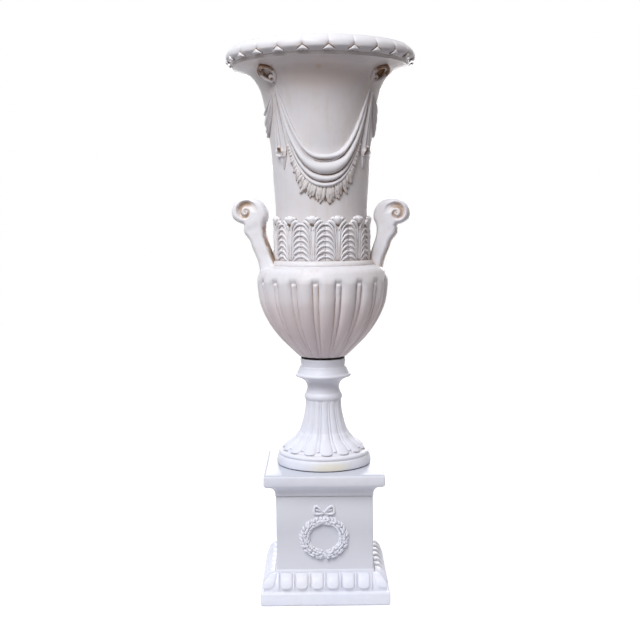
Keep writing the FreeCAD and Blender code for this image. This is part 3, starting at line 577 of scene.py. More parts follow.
def rimHollow(points):
    # painted shade: the brown line that stands over each small pad, where two eggs part
    angle = (angleOf(points) - rim["turn"]) % rimPitch - rimPitch / 2
    across = np.abs(np.radians(angle) * rim["radius"])
    edge = rimDart["height"] * (1 - across / (rimDart["width"] / 2))
    over = points[:, 2] - (rimBottom + rimDart["lift"]) - edge
    return 2.2 * (1 - ease(1.0, 3.6, over)) * (across < 9) * (over > -3)


def makeRim():
    skin = curveThrough(fromShares(rim, rim["radius"], rimBottom, rim["drop"]), 60)
    profile = np.vstack([[(rim["inner"], rimBottom)], skin, [(rim["inner"], bell["top"])]])
    angles = np.sin(np.linspace(-pi / 2, pi / 2, 27)) * rimPitch / 2

    def eggRadius(row, radius, level, angle):
        if not 0 < row <= len(skin):
            return radius
        height = (level - rimBottom) / rim["drop"]
        # the egg narrows to both its ends, and the crease between two eggs opens below
        body = crown(2 * angle / rimPitch / 0.985, 3.0, 0.5)
        fade = ease(0.0, 0.16, height) * (1 - ease(0.86, 1.0, height))
        lens = 0.65 + 1.2 * (1 - ease(0.2, 0.6, height))
        return radius - rim["eggDepth"] * fade * lens * (1 - body)

    turnedPiece("rimEggs", "rim_moulding", profile, rim["count"], angles, reliefGlaze, 8,
                vaseTurn + rim["turn"], eggRadius, rimHollow)


def makeRimDarts():
    # small pointed pads that stand under the joints of the eggs
    rows, columns = rimDart["rows"], rimDart["columns"]
    front, back = [], []
    for v in np.linspace(0, 1, rows):
        half = rimDart["width"] / 2 * (1 - v) ** 0.9 + 0.25
        radius = np.interp(v, (0, 1), (rimDart["baseRadius"], rimDart["tipRadius"]))
        level = rimBottom + rimDart["lift"] + rimDart["height"] * v
        for u in np.linspace(-1, 1, columns):
            bulge = crown(u, 3, 0.5) * min(1.0, 0.3 + 3.5 * v)
            angle = rimPitch / 2 + np.degrees(half * u / radius)
            front.append(atAngle(radius - rimDart["crown"] * (1 - bulge), angle, level))
            back.append(atAngle(radius - rimDart["depth"], angle, level))
    mesh = cleaned(meshFrom("rimDart", *shell(front, back, rows, columns), turned=False))
    mesh = ringOf("rimDarts", mesh, rim["count"], vaseTurn + rim["turn"])
    addPiece("rimDarts", mesh, "rim_darts", reliefGlaze, 3)


# bowl with gadroons

bowl = {
    "count": 18, "bottom": 487.5, "height": 188.0, "radius": 135.0, "dartHalf": 2.7,
    "dartRelief": 5.8, "depthShare": 0.073, "floorRadius": 38.0, "mouth": 84.5, "wall": 17.0,
    "floor": 9.0, "bore": 6.0, "crown": (2.25, 0.58),
    "levelShares": (0.0, 0.04, 0.11, 0.21, 0.34, 0.475, 0.61, 0.735, 0.815, 0.85, 0.89,
                    0.94, 0.976, 1.0),
    "radiusShares": (0.359, 0.421, 0.523, 0.659, 0.797, 0.899, 0.967, 0.992, 1.0, 0.993, 0.974,
                     0.942, 0.886, 0.775),
    # how deep the lobes part, and how high the beads stand, along the height
    "depths": ((0, 0.05, 0.12, 0.78, 0.81, 0.835, 0.86, 0.885, 1),
               (0.7, 0.85, 1, 1, 0.84, 0.52, 0.2, 0.03, 0)),
    "beads": ((0, 0.1, 0.5, 0.7, 0.785, 0.805, 0.817, 0.824),
              (0.2, 0.35, 0.8, 0.95, 1.15, 1.0, 0.6, 0.0)),
}


def lobeAngles(piece, steps):
    # one pitch: a lobe with half a bead on both its sides, and the lobe's half angle
    half = 180 / piece["count"] - piece["dartHalf"]
    lobe = half * np.sin(np.linspace(-pi / 2, pi / 2, steps))
    bead = half + piece["dartHalf"] * np.sin(np.linspace(0, pi / 2, 6))
    return np.concatenate([-bead[::-1][:-1], lobe, bead[1:]]), half


def lobeRadius(piece, radius, height, angle, half, beadRise, grow=1.0):
    # the radius between two creases: a crowned lobe, whose height grow scales, then half a bead
    depth = radius * piece["depthShare"] * np.interp(height, *piece["depths"])
    if abs(angle) <= half:
        return radius - depth * (1 - crown(angle / half, *piece["crown"]) * grow)
    # rounding leaves a hairline groove down the middle of each bead of the foot
    bead = (abs(angle) - half) / piece["dartHalf"]
    return radius - depth + beadRise(depth, height) * max(0.0, 1 - (1 - bead) ** 2.2) ** 0.6


def makeBowl():
    low, floor = bowl["bottom"], bowl["bottom"] + bowl["floor"]
    skin = evenly(curveThrough(fromShares(bowl, bowl["radius"], low, bowl["height"]), 400), 150)
    mouth = bell["bandBottom"]
    profile = np.vstack([[(bowl["bore"], low)], skin,
                         [(bowl["mouth"], mouth), (bowl["mouth"], mouth - 10)],
                         offsetProfile(skin, bowl["wall"])[::-1][10:-14:5],
                         [(bowl["floorRadius"], floor), (bowl["bore"], floor)]])
    angles, half = lobeAngles(bowl, 21)

    def beadRise(depth, height):
        return bowl["dartRelief"] * np.interp(height, *bowl["beads"])

    def gadroonRadius(row, radius, level, angle):
        if not 0 < row <= len(skin):
            return radius
        return lobeRadius(bowl, radius, (level - low) / bowl["height"], angle, half, beadRise)

    turnedPiece("bowlBody", "bowl", profile, bowl["count"], angles, bowlGlaze, 10, vaseTurn,
                gadroonRadius)


# foot with flutes

foot = {
    "count": 14, "bottom": 265.0, "radius": 98.0, "flutes": 292.0, "fluteHeight": 105.0,
    "fluteFoot": 89.0, "fluteNeck": 37.1, "dartHalf": 3.4, "depthShare": 0.074, "wall": 15.0,
    "crown": (2.4, 0.6),
    "levelShares": (0.0, 0.035, 0.076, 0.139, 0.2, 0.257, 0.324, 0.381, 0.505, 0.619, 0.743,
                    0.867, 0.96, 1.0),
    "radiusShares": (1.0, 0.945, 0.865, 0.73, 0.547, 0.42, 0.3275, 0.2466, 0.158, 0.0944, 0.0424,
                     0.0077, 0.0, 0.0),
    "depths": ((0, 0.10, 0.6, 0.9, 0.985, 1), (0.95, 1, 1, 0.9, 0.55, 0)),
    # profile points as radius and level, from the ring above the flutes to the bore
    "neck": ((35.6, 412), (33.6, 418), (33.0, 424), (34.8, 430), (39.2, 436), (46.5, 441),
             (54.0, 444.4)),
    "knop": ((53.8, 452.4), (51.2, 457.5), (49.0, 462), (48.0, 465.2)),
    "collar": ((47.5, 466.0), (45.6, 466.2), (45.3, 467.0), (45.7, 473), (46.5, 479.8),
               (46.2, 481.6), (45.0, 482.5)),
    "bore": ((6.0, 482.5), (6.0, 473.5), (37.6, 473.5), (37.6, 461.0), (24.0, 444.0),
             (23.5, 397.0)),
}


def makeFoot():
    low, out = foot["bottom"], foot["radius"]
    table = fromShares(foot, foot["fluteFoot"] - foot["fluteNeck"], foot["flutes"],
                       foot["fluteHeight"], foot["fluteNeck"])
    flutes = evenly(curveThrough(table, 400), 110)
    ring = foot["flutes"] + foot["fluteHeight"]
    band = np.vstack([[(out - 9, low), (out - 1.5, low)],
                      arcPoints((out - 0.6, low + 0.8), (95.3, low + 16.5), 1.1, 10),
                      [(94.6, low + 17.6), (93.0, low + 18.3), (92.7, low + 19.4)],
                      arcPoints((93.2, low + 20.2), (90.4, low + 26.6), 1.9, 10),
                      [(89.4, low + 27.0)]])
    profile = np.vstack([band, flutes[1:-1],
                         arcPoints((37.6, ring + 0.5), (36.2, ring + 13.5), 2.6, 14),
                         curveThrough(foot["neck"], 34),
                         arcPoints((54.3, 444.6), (54.6, 451.4), 3.4, 16),
                         curveThrough(foot["knop"], 12), foot["collar"], foot["bore"],
                         offsetProfile(flutes, foot["wall"])[::-1][4:-6:6], [(out - 9, low + 6)]])
    angles, half = lobeAngles(foot, 17)

    def beadRise(depth, height):
        return 0.8 * depth * ease(0.055, 0.085, height)

    def fluteRadius(row, radius, level, angle):
        if not len(band) <= row <= len(band) + len(flutes) - 3:
            return radius
        height = (level - foot["flutes"]) / foot["fluteHeight"]
        # each lobe ends below in a half round, so its edges start higher than its middle
        start = 0.012 + 0.05 * (1 - crown(angle / half, 2, 0.5))
        grow = ease(start - 0.012, start + 0.02, height)
        return lobeRadius(foot, radius, height, angle, half, beadRise, grow)

    turnedPiece("footBody", "foot", profile, foot["count"], angles, footGlaze, 10, vaseTurn,
                fluteRadius)


print("stage: bell, rim, bowl and foot")
makeBell()
makeRim()
makeRimDarts()
makeBowl()
makeFoot()


# pedestal

pedestal = {
    "edge": 2.6, "cornerSteps": 6, "groove": (213.9, 215.8),
    "profile": ((125.6, 0.0), (127.6, 0.6), (129.1, 2.4), (129.5, 4.5), (129.5, 22.6),
                (129.0, 25.2), (127.4, 26.6), (125.2, 27.0), (122.6, 27.0), (122.0, 27.3)),
    "ovolo": ((122.0, 27.3), (100.0, 59.0), 7.9),
    "middle": ((99.9, 59.4), (99.5, 60.4), (99.4, 62.6), (98.9, 63.8), (97.9, 64.3),
               (97.25, 65.2), (97.25, 140.0), (97.25, 213.6), (96.0, 214.2), (95.8, 215.4),
               (98.4, 216.0), (98.6, 216.6)),
    "cove": ((98.6, 216.6), (111.6, 236.6), -4.6),
    "cap": ((112.6, 237.1), (114.6, 237.2), (117.4, 238.3), (119.4, 240.4), (120.5, 243.2),
            (120.5, 257.4), (119.9, 260.4), (118.3, 262.2), (115.4, 263.0)),
    "inside": ((103.0, 254.0), (103.0, 237.0), (88.25, 216.5), (88.25, 64.0), (112.0, 27.0),
               (120.5, 18.0), (120.5, 0.0)),
}


def squareRing(half, level, edge):
    # a square with rounded corners, anticlockwise from the middle of the right side
    quarter = [(half, share * (half - edge)) for share in (-0.5, 0, 0.5)]
    quarter += [(half - edge + edge * cos(turn), half - edge + edge * sin(turn))
                for turn in np.linspace(0, pi / 2, pedestal["cornerSteps"])]
    return [(x * cos(angle) - y * sin(angle), x * sin(angle) + y * cos(angle), level)
            for angle in (0, pi / 2, pi, 3 * pi / 2) for x, y in quarter]


def grooveHollow(points):
    # painted shade: brown in the small groove at the top of the die
    low, high = pedestal["groove"]
    return 2.6 * ((points[:, 2] > low) & (points[:, 2] < high))


def makePedestal():
    profile = np.vstack([pedestal["profile"], arcPoints(*pedestal["ovolo"], 16)[1:],
                         pedestal["middle"], arcPoints(*pedestal["cove"], 12)[1:],
                         pedestal["cap"]])
    rows = [squareRing(half, level, pedestal["edge"]) for half, level in profile]
    inner = [squareRing(half, level, 1.0) for half, level in pedestal["inside"]]
    count, top, start = len(rows[0]), len(rows) - 1, len(rows)
    faces = gridFaces(len(rows), count, closedColumns=True)
    faces.append(tuple(range(top * count, start * count)))
    faces += [tuple(start * count + k for k in face)
              for face in gridFaces(len(inner), count, closedColumns=True)]
    faces.append(tuple(range(start * count + count - 1, start * count - 1, -1)))
    last = (start + len(inner) - 1) * count
    faces += [(k, (k + 1) % count, last + (k + 1) % count, last + k) for k in range(count)]
    mesh = cleaned(meshFrom("pedestalBody", np.vstack(rows + inner), faces, turned=False))
    addPiece("pedestalBody", mesh, "pedestal_shell", pedestalGlaze, 0, "white_glaze", "pedestal",
             grooveHollow)


tongue = {"count": 6, "pitch": 31.0, "width": 26.0, "relief": 4.8, "dartWidth": 2.8,
          "dartRelief": 4.2, "cornerRelief": 2.2, "foot": 0.13, "dartFoot": 0.10, "round": 0.26,
          "cornerRound": 0.34, "rows": 22}


def ovoloPlace(share):
    # a point of the base's ovolo (half width, level) and its outward direction
    arc, steps = arcPoints(*pedestal["ovolo"], 101), np.linspace(0, 1, 101)
    place, before, after = (np.array([np.interp(share + step, steps, arc[:, k]) for k in (0, 1)])
                            for step in (0, -0.01, 0.01))
    run = unit(after - before)
    return place, np.array([run[1], -run[0]])


def ribOnOvolo(at, relief, lowest, columns=15, bulge=(3.6, 0.6), least=0.15, roundEnd=None):
    # one convex rib with a rounded foot and a flat back; at gives the x and y of its points
    front, back = [], []
    for v in np.linspace(0, 1, tongue["rows"]):
        place, out = ovoloPlace(lowest + (0.985 - lowest) * v ** 1.25)
        roundness = crown(1 - min(1.0, v / (roundEnd or tongue["round"])), 2, 0.5)
        for u in np.linspace(-1, 1, columns):
            lift = relief * crown(u, *bulge) * min(1.0, least + roundness)
            lift = 0.1 + lift * (1 - 0.8 * ease(0.8, 1.0, v))
            for side, depth in ((front, lift), (back, -1.5)):
                x, z = place + out * depth
                side.append((*at(x, u, v, roundness), z))
    return shell(front, back, tongue["rows"], columns)


def makeTongues():
    def straight(offset, width, pointed=False):
        def at(x, u, v, roundness):
            wide = min(1.0, v / 0.8) if pointed else roundness
            return x, offset + width / 2 * (0.06 + 0.94 * wide) * u
        return at

    def corner(x, u, v, roundness):
        reach = max(1.0, x - 102.5 + 6 * v)
        along = x - reach * abs(u) * (0.15 + 0.85 * roundness)
        return (x, along) if u <= 0 else (along, x)

    def offsets(count):
        return [(k - (count - 1) / 2) * tongue["pitch"] for k in range(count)]

    tongues = [ribOnOvolo(straight(offset, tongue["width"]), tongue["relief"], tongue["foot"])
               for offset in offsets(tongue["count"])]
    tongues.append(ribOnOvolo(corner, tongue["cornerRelief"], tongue["foot"], 17, (2.6, 0.55),
                              0.1, tongue["cornerRound"]))
    darts = [ribOnOvolo(straight(offset, tongue["dartWidth"], True), tongue["dartRelief"],
                        tongue["dartFoot"], 7) for offset in offsets(tongue["count"] + 1)]
    for name, cadNode, parts, slot, reach in (
            ("baseTongues", "base_tongues", tongues, "white_glaze", 6),
            ("baseDarts", "base_darts", darts, "relief_glaze", 3)):
        mesh = cleaned(meshFrom(name, *joined(parts), turned=False))
        addPiece(name, ringOf(name, mesh, 4), cadNode, pedestalGlaze, reach, slot, "pedestal")


print("stage: pedestal")
makePedestal()
makeTongues()


# what is luted on the wall: places, ridges and patches

def onWall(angle, level, height):
    # places at a height above the bell's wall, square to it; angles in degrees
    angle, level = np.radians(angle), np.asarray(level, dtype=float)
    lean = np.interp(level, bellFine[:, 1], wallLean)
    square = 1 / np.sqrt(1 + lean ** 2)
    radius = wallRadius(level) + height * square
    return np.stack([radius * np.sin(angle), -radius * np.cos(angle),
                     level - height * lean * square], axis=-1)


def wallPlace(middle, lift=lambda across, level: 0.0):
    # a place function in millimetres across and up, round one angle of the wall
    def place(across, level, height):
        angle = middle + np.degrees(across / wallRadius(level))
        return onWall(angle, level, lift(across, level) + height)
    return place


def wallAxes(angle, level):
    # the wall's own directions at one place: to the right, up along it, and outwards
    here = onWall(angle, level, 0.0)
    return unit(np.array([onWall(angle + 0.1, level, 0.0), onWall(angle, level + 0.1, 0.0),
                          onWall(angle, level, 0.1)]) - here)


def fourPlaces(angle):
    # the angles at both sides of the front and of the back, and the side each one faces
    return [(-angle, 1), (angle, -1), (180 - angle, 1), (180 + angle, -1)]


def mirrored(path, hand):
    return [(hand * x, z) for x, z in path]


def spacePlace(x, z, up):
    return np.stack([x, z, up], axis=-1)


def ridge(place, path, widths, heights, count=10, around=8, sink=1.0):
    # a tapered closed ridge that follows a path; widths and heights are spread along it
    path = evenly(curveThrough(path, 60), count)
    steps = np.linspace(0, 1, count)
    wide, high = (np.interp(steps, np.linspace(0, 1, len(table)), table)
                  for table in (widths, heights))
    run = unit(np.gradient(path, axis=0))
    turn = circle(around)
    rise, rows = np.sin(turn), []
    for k in range(count):
        across = wide[k] * np.cos(turn)
        up = np.where(rise > 0, high[k] * rise, sink * rise)
        rows.append(place(path[k, 0] - across * run[k, 1], path[k, 1] + across * run[k, 0], up))
    return tube(rows)


def ball(place, centre, radii, rows=9, around=14):
    # a closed ball or lens in a place function's own directions
    turn = circle(around)
    return tube([place(centre[0] + radii[0] * sin(polar) * np.cos(turn),
                       centre[1] + radii[1] * sin(polar) * np.sin(turn),
                       centre[2] + radii[2] * cos(polar) + 0 * turn)
                 for polar in np.linspace(0.02, pi - 0.02, rows)])


def patch(place, across, level, height, sink=1.0):
    # a closed plate from three grids of the same shape
    front = place(across.ravel(), level.ravel(), height.ravel())
    back = place(across.ravel(), level.ravel(), np.full(across.size, -sink))
    return shell(front, back, *across.shape)


# swags: cloth in long rounded folds between two knots

swagFolds = (0.0, 0.17, 0.25, 0.62, 0.83, 1.0)
frontSwag = {"halfAngle": 51.0, "top": 893.0, "bottom": 829.5, "end": 1035.0, "upperHang": 2.5,
             "lowerHang": 1.07, "reliefs": (7.6, 1.2, 11.0, 8.6, 7.4), "merge": 1.0, "steps": 151}
sideSwag = {"halfAngle": 31.0, "top": 985.0, "bottom": 932.0, "end": 1014.0, "upperHang": 2.45,
            "lowerHang": 0.83, "reliefs": (3.2, 0.8, 4.6, 4.2, 3.6), "merge": 0.0, "steps": 91}


def swagEdges(share, swag):
    upper = swag["top"] + (swag["end"] - swag["top"]) * np.abs(share) ** swag["upperHang"]
    hang = (1 - crown(share, 2, 0.5)) ** swag["lowerHang"]
    return upper, swag["bottom"] + (swag["end"] - swag["bottom"]) * hang


def foldHeights(t, cuts, reliefs, width):
    height = np.zeros(np.broadcast(t, width).shape)
    for first, last, relief in zip(cuts, cuts[1:], reliefs):
        u = np.clip((t - first) / (last - first), 0, 1) ** 1.22
        rise = np.minimum(relief, 0.72 * width * (last - first))
        inside = (t >= first) & (t <= last)
        height = np.where(inside, rise * crown(2 * u - 1, 2.2, 0.62), height)
    return height


def makeSwag(name, cadNode, middle, swag):
    share = np.sin(np.radians(np.linspace(-85, 85, swag["steps"])))[:, None]
    spans = [first + (last - first) * (1 - np.cos(np.linspace(0, pi, 15)[1:])) / 2
             for first, last in zip(swagFolds, swagFolds[1:])]
    t = np.concatenate([[0.0]] + spans)[None, :]
    upper, lower = swagEdges(share, swag)
    sway = 4 * t * (1 - t) * min(1.0, swag["halfAngle"] / 50)
    level = upper + (lower - upper) * t
    level = level + 1.3 * sway * np.sin(2.9 * share + 4.0 * t + 0.6) * (1 - share ** 4)
    arc = np.radians(share * swag["halfAngle"]) * 100
    slope = np.gradient(((upper + lower) / 2)[:, 0], arc[:, 0])[:, None]
    width = (upper - lower) / np.sqrt(1 + slope ** 2)
    reliefs = swag["reliefs"]
    folds = foldHeights(t, swagFolds, reliefs, width)
    # on the right the two upper folds run together into one
    together = foldHeights(t, (0.0,) + swagFolds[2:], (reliefs[2] - 1,) + reliefs[2:], width)
    blend = ease(0.10, 0.42, share) * swag["merge"]
    height = (1.5 + folds + (together - folds) * blend) * np.clip(width / 12, 0.5, 1)
    angle = middle + swag["halfAngle"] * share + 0 * t
    mesh = cleaned(meshFrom(name, *patch(onWall, angle, level, height)))
    addPiece(name, mesh, cadNode, reliefGlaze, 14)


# fringe: two layers of ragged locks under a swag

fringe = {"halfAngle": 42.0, "locks": 42, "width": 7.4, "thick": 4.8, "seed": 11,
          "shares": (0, 0.3, 0.55, 0.8, 1.0), "lengths": (33.0, 30.0, 24.0, 13.0, 4.5),
          "layers": ((0.2, 1.0), (2.2, 0.74))}


def makeLock():
    # one lock, one unit long: a tapered wavy tuft with a blunt end
    body, faces = ridge(spacePlace, [(0.0, 0.0), (0.07, -0.3), (-0.04, -0.62), (0.05, -0.97)],
                        (0.36, 0.46, 0.52, 0.56, 0.54, 0.46, 0.22),
                        (0.6, 0.9, 1.0, 1.05, 1.0, 0.85, 0.45), 9, 8, 0.3)
    body[(np.abs(body[:, 0]) < 0.10) & (body[:, 2] > 0), 2] *= 0.72
    return cleaned(meshFrom("lock", body, faces, False, 1), 0.0001)


def fringeHollow(points):
    # painted shade: brown low between the locks, close to the wall
    up = np.hypot(points[:, 0], points[:, 1]) - wallRadius(points[:, 2])
    return 0.75 * (1 - ease(1.5, 3.6, up))


def makeFringe(name, cadNode, middle):
    rng = np.random.default_rng(fringe["seed"] + middle)
    half, count = fringe["halfAngle"], fringe["locks"]
    fine = np.linspace(-1, 1, 400)
    lower = swagEdges(fine * half / frontSwag["halfAngle"], frontSwag)[1]
    arc = np.radians(fine * half) * 98
    slope = np.gradient(lower, arc)
    run = np.concatenate([[0], np.cumsum(np.hypot(np.diff(arc), np.diff(lower)))])
    spots = []
    for layer, (lift, longer) in enumerate(fringe["layers"]):
        for k in range(count):
            place = (k + 0.5 * layer + 0.25 * rng.uniform(-1, 1)) / (count - 0.5)
            share = np.interp(place, run / run[-1], fine)
            angle, level = middle + half * share, np.interp(share, fine, lower)
            lean = np.interp(share, fine, slope)
            right, above, out = wallAxes(angle, level)
            square = (above - lean * right) / sqrt(1 + lean ** 2)
            # three neighbours run together into one tuft
            towards = 0.17 * (1 - k % 3) + 0.06 * sin(1.3 * (k // 3)) + rng.uniform(-0.05, 0.05)
            along = unit(0.5 * square + 0.5 * above - right * towards)
            length = np.interp(abs(share), fringe["shares"], fringe["lengths"]) * longer
            length = length * (1 + 0.07 * sin(2.1 * (k // 3)) + rng.uniform(-0.04, 0.04)) + 3.0
            width = fringe["width"] * rng.choice((-1, 1)) * (0.75 + 0.25 * min(1.0, length / 26))
            spots.append((onWall(angle, level, lift) + along * 3.0,
                          [np.cross(along, out), along, out],
                          (width * mm, length * mm, fringe["thick"] * mm)))
    tufts = spread(name, makeLock(), spots, 0.9, 1.1, 5)
    tufts.transform(vaseMatrix)
    # a thin sheet behind the locks closes the gaps between them
    share, t = np.linspace(-1, 1, 161)[:, None], np.linspace(0, 1, 7)[None, :]
    down = np.interp(np.abs(share), fringe["shares"], fringe["lengths"]) * 0.80
    down = down * np.sqrt(1 + np.interp(share, fine, slope) ** 2)
    ragged = 0.08 * np.sin(41 * share) + 0.06 * np.sin(67 * share + 1)
    level = np.interp(share, fine, lower) + 1.0 - down * (1 + ragged) * t
    height = 1.4 * (1 - 0.6 * t ** 2) + 0 * share
    sheet = patch(onWall, middle + half * share + 0 * t, level, height)
    mesh = cleaned(merged(name, [tufts, meshFrom(name, *sheet)]), 0.0)
    addPiece(name, mesh, cadNode, fringeGlaze, 4, hollowAt=fringeHollow)


# tails: pleated ends of the cloth that hang beside each knot

tail = {"angle": 53.5, "top": 1014.0, "length": 147.0, "half": 14.2,
        "downShares": (0.0, 0.12, 0.30, 0.50, 0.66, 0.74, 0.775, 0.80, 0.88, 1.0),
        "wideShares": (0.14, 0.24, 0.42, 0.68, 0.90, 1.0, 0.93, 0.66, 0.46, 0.04),
        "reliefs": ((0, 0.2, 0.5, 0.74, 0.80, 0.9, 1.0), (4.0, 5.4, 6.4, 7.6, 5.4, 4.0, 1.2))}


def tailCurl(across, down):
    # how far a place lies from the middle of the curled hollow, 1 at its lip
    return np.sqrt(((across - 0.04) / 0.70) ** 2 + ((down - 0.762) / 0.056) ** 2)


def tailHollow(points):
    # painted shade: brown inside the curled hollow at the end of each tail
    down = (tail["top"] - points[:, 2]) / tail["length"]
    known = np.zeros(len(points))
    for middle, hand in fourPlaces(tail["angle"]):
        off = (angleOf(points) - middle + 180) % 360 - 180
        across = np.radians(off) * wallRadius(points[:, 2]) * hand / tail["half"]
        near = np.where(np.abs(off) < 12, tailCurl(across, down), 9)
        known = np.maximum(known, 0.85 * (1 - ease(0.55, 1.2, near)))
    return known


def makeTail(middle, hand):
    down = np.unique(np.concatenate([np.linspace(0, 1, 71), np.linspace(0.70, 0.84, 25)]))[:, None]
    u = np.linspace(-1, 1, 49)[None, :]
    wide = np.interp(down, tail["downShares"], tail["wideShares"])
    across = hand * tail["half"] * (wide * u + 0.30 * ease(0.76, 0.82, down))
    # the hem runs in a zigzag: the pleats end at different levels
    zigzag = 5.0 * ease(0.45, 0.74, down) * (1 - ease(0.78, 0.86, down)) * np.abs(np.sin(2.6 * u))
    level = tail["top"] - tail["length"] * down + 0 * u - zigzag
    pleats = np.abs(np.cos(1.5 * pi * u * (0.9 + 0.1 * wide) + 0.5)) ** 0.75
    relief = np.interp(down, *tail["reliefs"])
    height = 1.0 + relief * (0.22 + 0.78 * pleats) * crown(u, 5, 0.4)
    # the curled end of one pleat: a lip round a small hollow
    out = tailCurl(wide * u, down)
    height = height + 3.6 * np.exp(-((out - 1) / 0.30) ** 2) - 7.5 * np.exp(-(out / 0.66) ** 2)
    return patch(wallPlace(middle), across, level, np.maximum(height, 0.6))


def makeTails():
    points, faces = joined([makeTail(*spot) for spot in fourPlaces(tail["angle"])])
    addPiece("swagTails", cleaned(meshFrom("swagTails", points, faces)), "swag_tails",
             reliefGlaze, 10, hollowAt=tailHollow)


# knots: an oval loop of ribbon that leans on the flare, with a small knot in it

knot = {"angle": 51.5, "level": 1052.0, "halfWide": 13.5, "halfTall": 18.5, "tube": 3.5,
        "lift": 6.0, "voxel": 0.75, "tilt": 24.0, "steps": 40, "around": 12,
        # centre and radii of the dish, the small knot and its two drops
        "balls": (((-2, -1, -1.8), (13, 17.5, 3.0)), ((3.5, -9.5, 6.5), (6.4, 6.0, 5.4)),
                  ((3.5, -22, 1.6), (5.2, 7.5, 4.2)), ((6, -29, 1.4), (3.4, 6.0, 3.0)))}


def knotAxes(middle, hand):
    # the knot's own directions: its loop is turned a little towards the middle of the front
    right, above, out = wallAxes(middle, knot["level"])
    tilt = radians(knot["tilt"]) if abs(middle) < 90 else 0.0
    side = hand * right
    return cos(tilt) * side - sin(tilt) * out, above, cos(tilt) * out + sin(tilt) * side


def voxelled(name, mesh, voxel, smooth):
    helper = addObject(name, mesh)
    remesh = helper.modifiers.new("skin", "REMESH")
    remesh.mode = "VOXEL"
    remesh.voxel_size = voxel * mm
    soften = helper.modifiers.new("soften", "SMOOTH")
    soften.iterations = smooth
    soften.factor = 0.5
    return plainMesh(helper)


def makeKnot(middle, hand):
    axes = np.array(knotAxes(middle, hand))
    seat = onWall(middle, knot["level"], 0.0)

    def place(x, z, up):
        return seat + np.stack(np.broadcast_arrays(x, z, up), axis=-1) @ axes

    around, rows = circle(knot["around"]), []
    for turn in circle(knot["steps"]):
        # the loop is an ear: broad above, drawn in below, and it leans outwards
        thick = knot["tube"] * (1 + 0.22 * sin(turn) + 0.1 * cos(turn))
        wide = knot["halfWide"] * (1 + 0.16 * sin(turn))
        rows.append(place(wide * cos(turn) - 2.2 * sin(turn) + cos(turn) * thick * np.cos(around),
                          knot["halfTall"] * sin(turn) + sin(turn) * thick * np.cos(around),
                          knot["lift"] + 1.6 * thick * np.sin(around)))
    loop = np.vstack(rows), gridFaces(knot["steps"], knot["around"], True, True)
    parts = [loop] + [ball(place, centre, radii) for centre, radii in knot["balls"]]
    return cleaned(meshFrom("knot", *joined(parts)))


def knotHollow(points):
    # painted shade: brown in the dish inside the loop, on the small knot and along the loop's upper
    # edges
    known = np.zeros(len(points))
    for middle, hand in fourPlaces(knot["angle"]):
        off = points - onWall(middle, knot["level"], 0.0)
        x, z, up = (off @ axis for axis in knotAxes(middle, hand))
        oval = np.hypot(x / 12, (z - 1) / 17)
        shades = (3.0 * (1 - ease(0.72, 1.0, oval)) * (1 - ease(3.5, 7.5, up)),
                  3.0 * (1 - ease(1.4, 3.4, np.hypot(x - 3.5, z + 11))) * (up > 7),
                  2.2 * ease(1.12, 1.3, oval) * ease(0, 8, z),
                  0.7 * ease(0.85, 1.0, oval) * ease(-6, 8, z))
        known = np.maximum(known, np.max(shades, axis=0) * (np.abs(up - 5) < 14))
    return known


def makeKnots():
    meshes = [voxelled("knot", makeKnot(*spot), knot["voxel"], 3)
              for spot in fourPlaces(knot["angle"])]
    addPiece("ribbonKnots", cleaned(merged("ribbonKnots", meshes)), "ribbon_knots", knotGlaze,
             20, hollowAt=knotHollow)


# collar of acanthus leaves

leaf = {"count": 12, "bottom": 683.8, "top": 758.0, "half": 24.3, "tiers": 7, "tierStep": 10.6,
        "first": 685.5, "lowest": 685.2,
        # path, widths, heights, steps and sides: the rib, then the two lobes beside the tip
        "ridges": ((((1.8, 685.4), (2.4, 712), (4.0, 738), (5.4, 754)),
                    (1.0, 1.1, 1.2, 1.6), (2.8, 2.8, 2.8, 3.2), 14, 8),
                   (((2.5, 746), (7, 756.5), (12.5, 762.5), (17.0, 763), (19.2, 758.5)),
                    (1.5, 3.2, 4.4, 4.0, 2.0), (2.4, 4.4, 5.6, 5.0, 2.2), 12, 10),
                   (((1, 757), (5, 765), (10.0, 769.5), (13.5, 766.5)),
                    (2.0, 3.6, 4.2, 2.4), (3.4, 5.8, 6.2, 2.8), 9, 10)),
        "tip": (((0, 756), (0, 763.5), (0, 770.5), (0, 774.5)),
                (3.2, 7.8, 9.0, 5.0), (3.0, 6.6, 8.0, 3.4), 10, 12)}


def plateLift(across, level):
    return 0.7 + 1.1 * crown(across / leaf["half"], 2, 1)


def makeLeaf():
    # one leaf: a low plate, a fluted rib, feathered crescents and a curled three-lobed tip
    middle = 180 / leaf["count"]
    raised = wallPlace(middle, plateLift)
    u, v = np.linspace(-1, 1, 25)[:, None], np.linspace(0, 1, 15)[None, :]
    across = leaf["half"] * u + 0 * v
    level = leaf["bottom"] + (leaf["top"] - 5 * u ** 2 - leaf["bottom"]) * v
    plate = 0.4 + plateLift(across, level) * np.minimum(1, 8 * (1 - v))
    parts = [patch(wallPlace(middle), across, level, plate)]
    for hand in (-1, 1):
        for tier in range(leaf["tiers"]):
            low, start = leaf["first"] + leaf["tierStep"] * tier, 3.2 + 0.4 * tier
            path = ((start, low - 16), (start + 2.2, low - 7), (start + 5.4, low + 1.5),
                    (15.8, low + 7.2), (20.6, low + 9.2), (24.6, low + 8.2))
            path = [(x, max(leaf["lowest"], z)) for x, z in path]
            heights = (1 + 0.12 * sin(1.9 * tier)) * np.array((1.0, 2.8, 3.8, 4.6, 4.4, 2.8))
            parts.append(ridge(raised, mirrored(path, hand), (0.8, 1.6, 2.1, 2.7, 3.1, 2.2),
                               heights, 15))
        for path, *sizes in leaf["ridges"]:
            parts.append(ridge(raised, mirrored(path, hand), *sizes))
    return joined(parts + [ridge(raised, *leaf["tip"])])


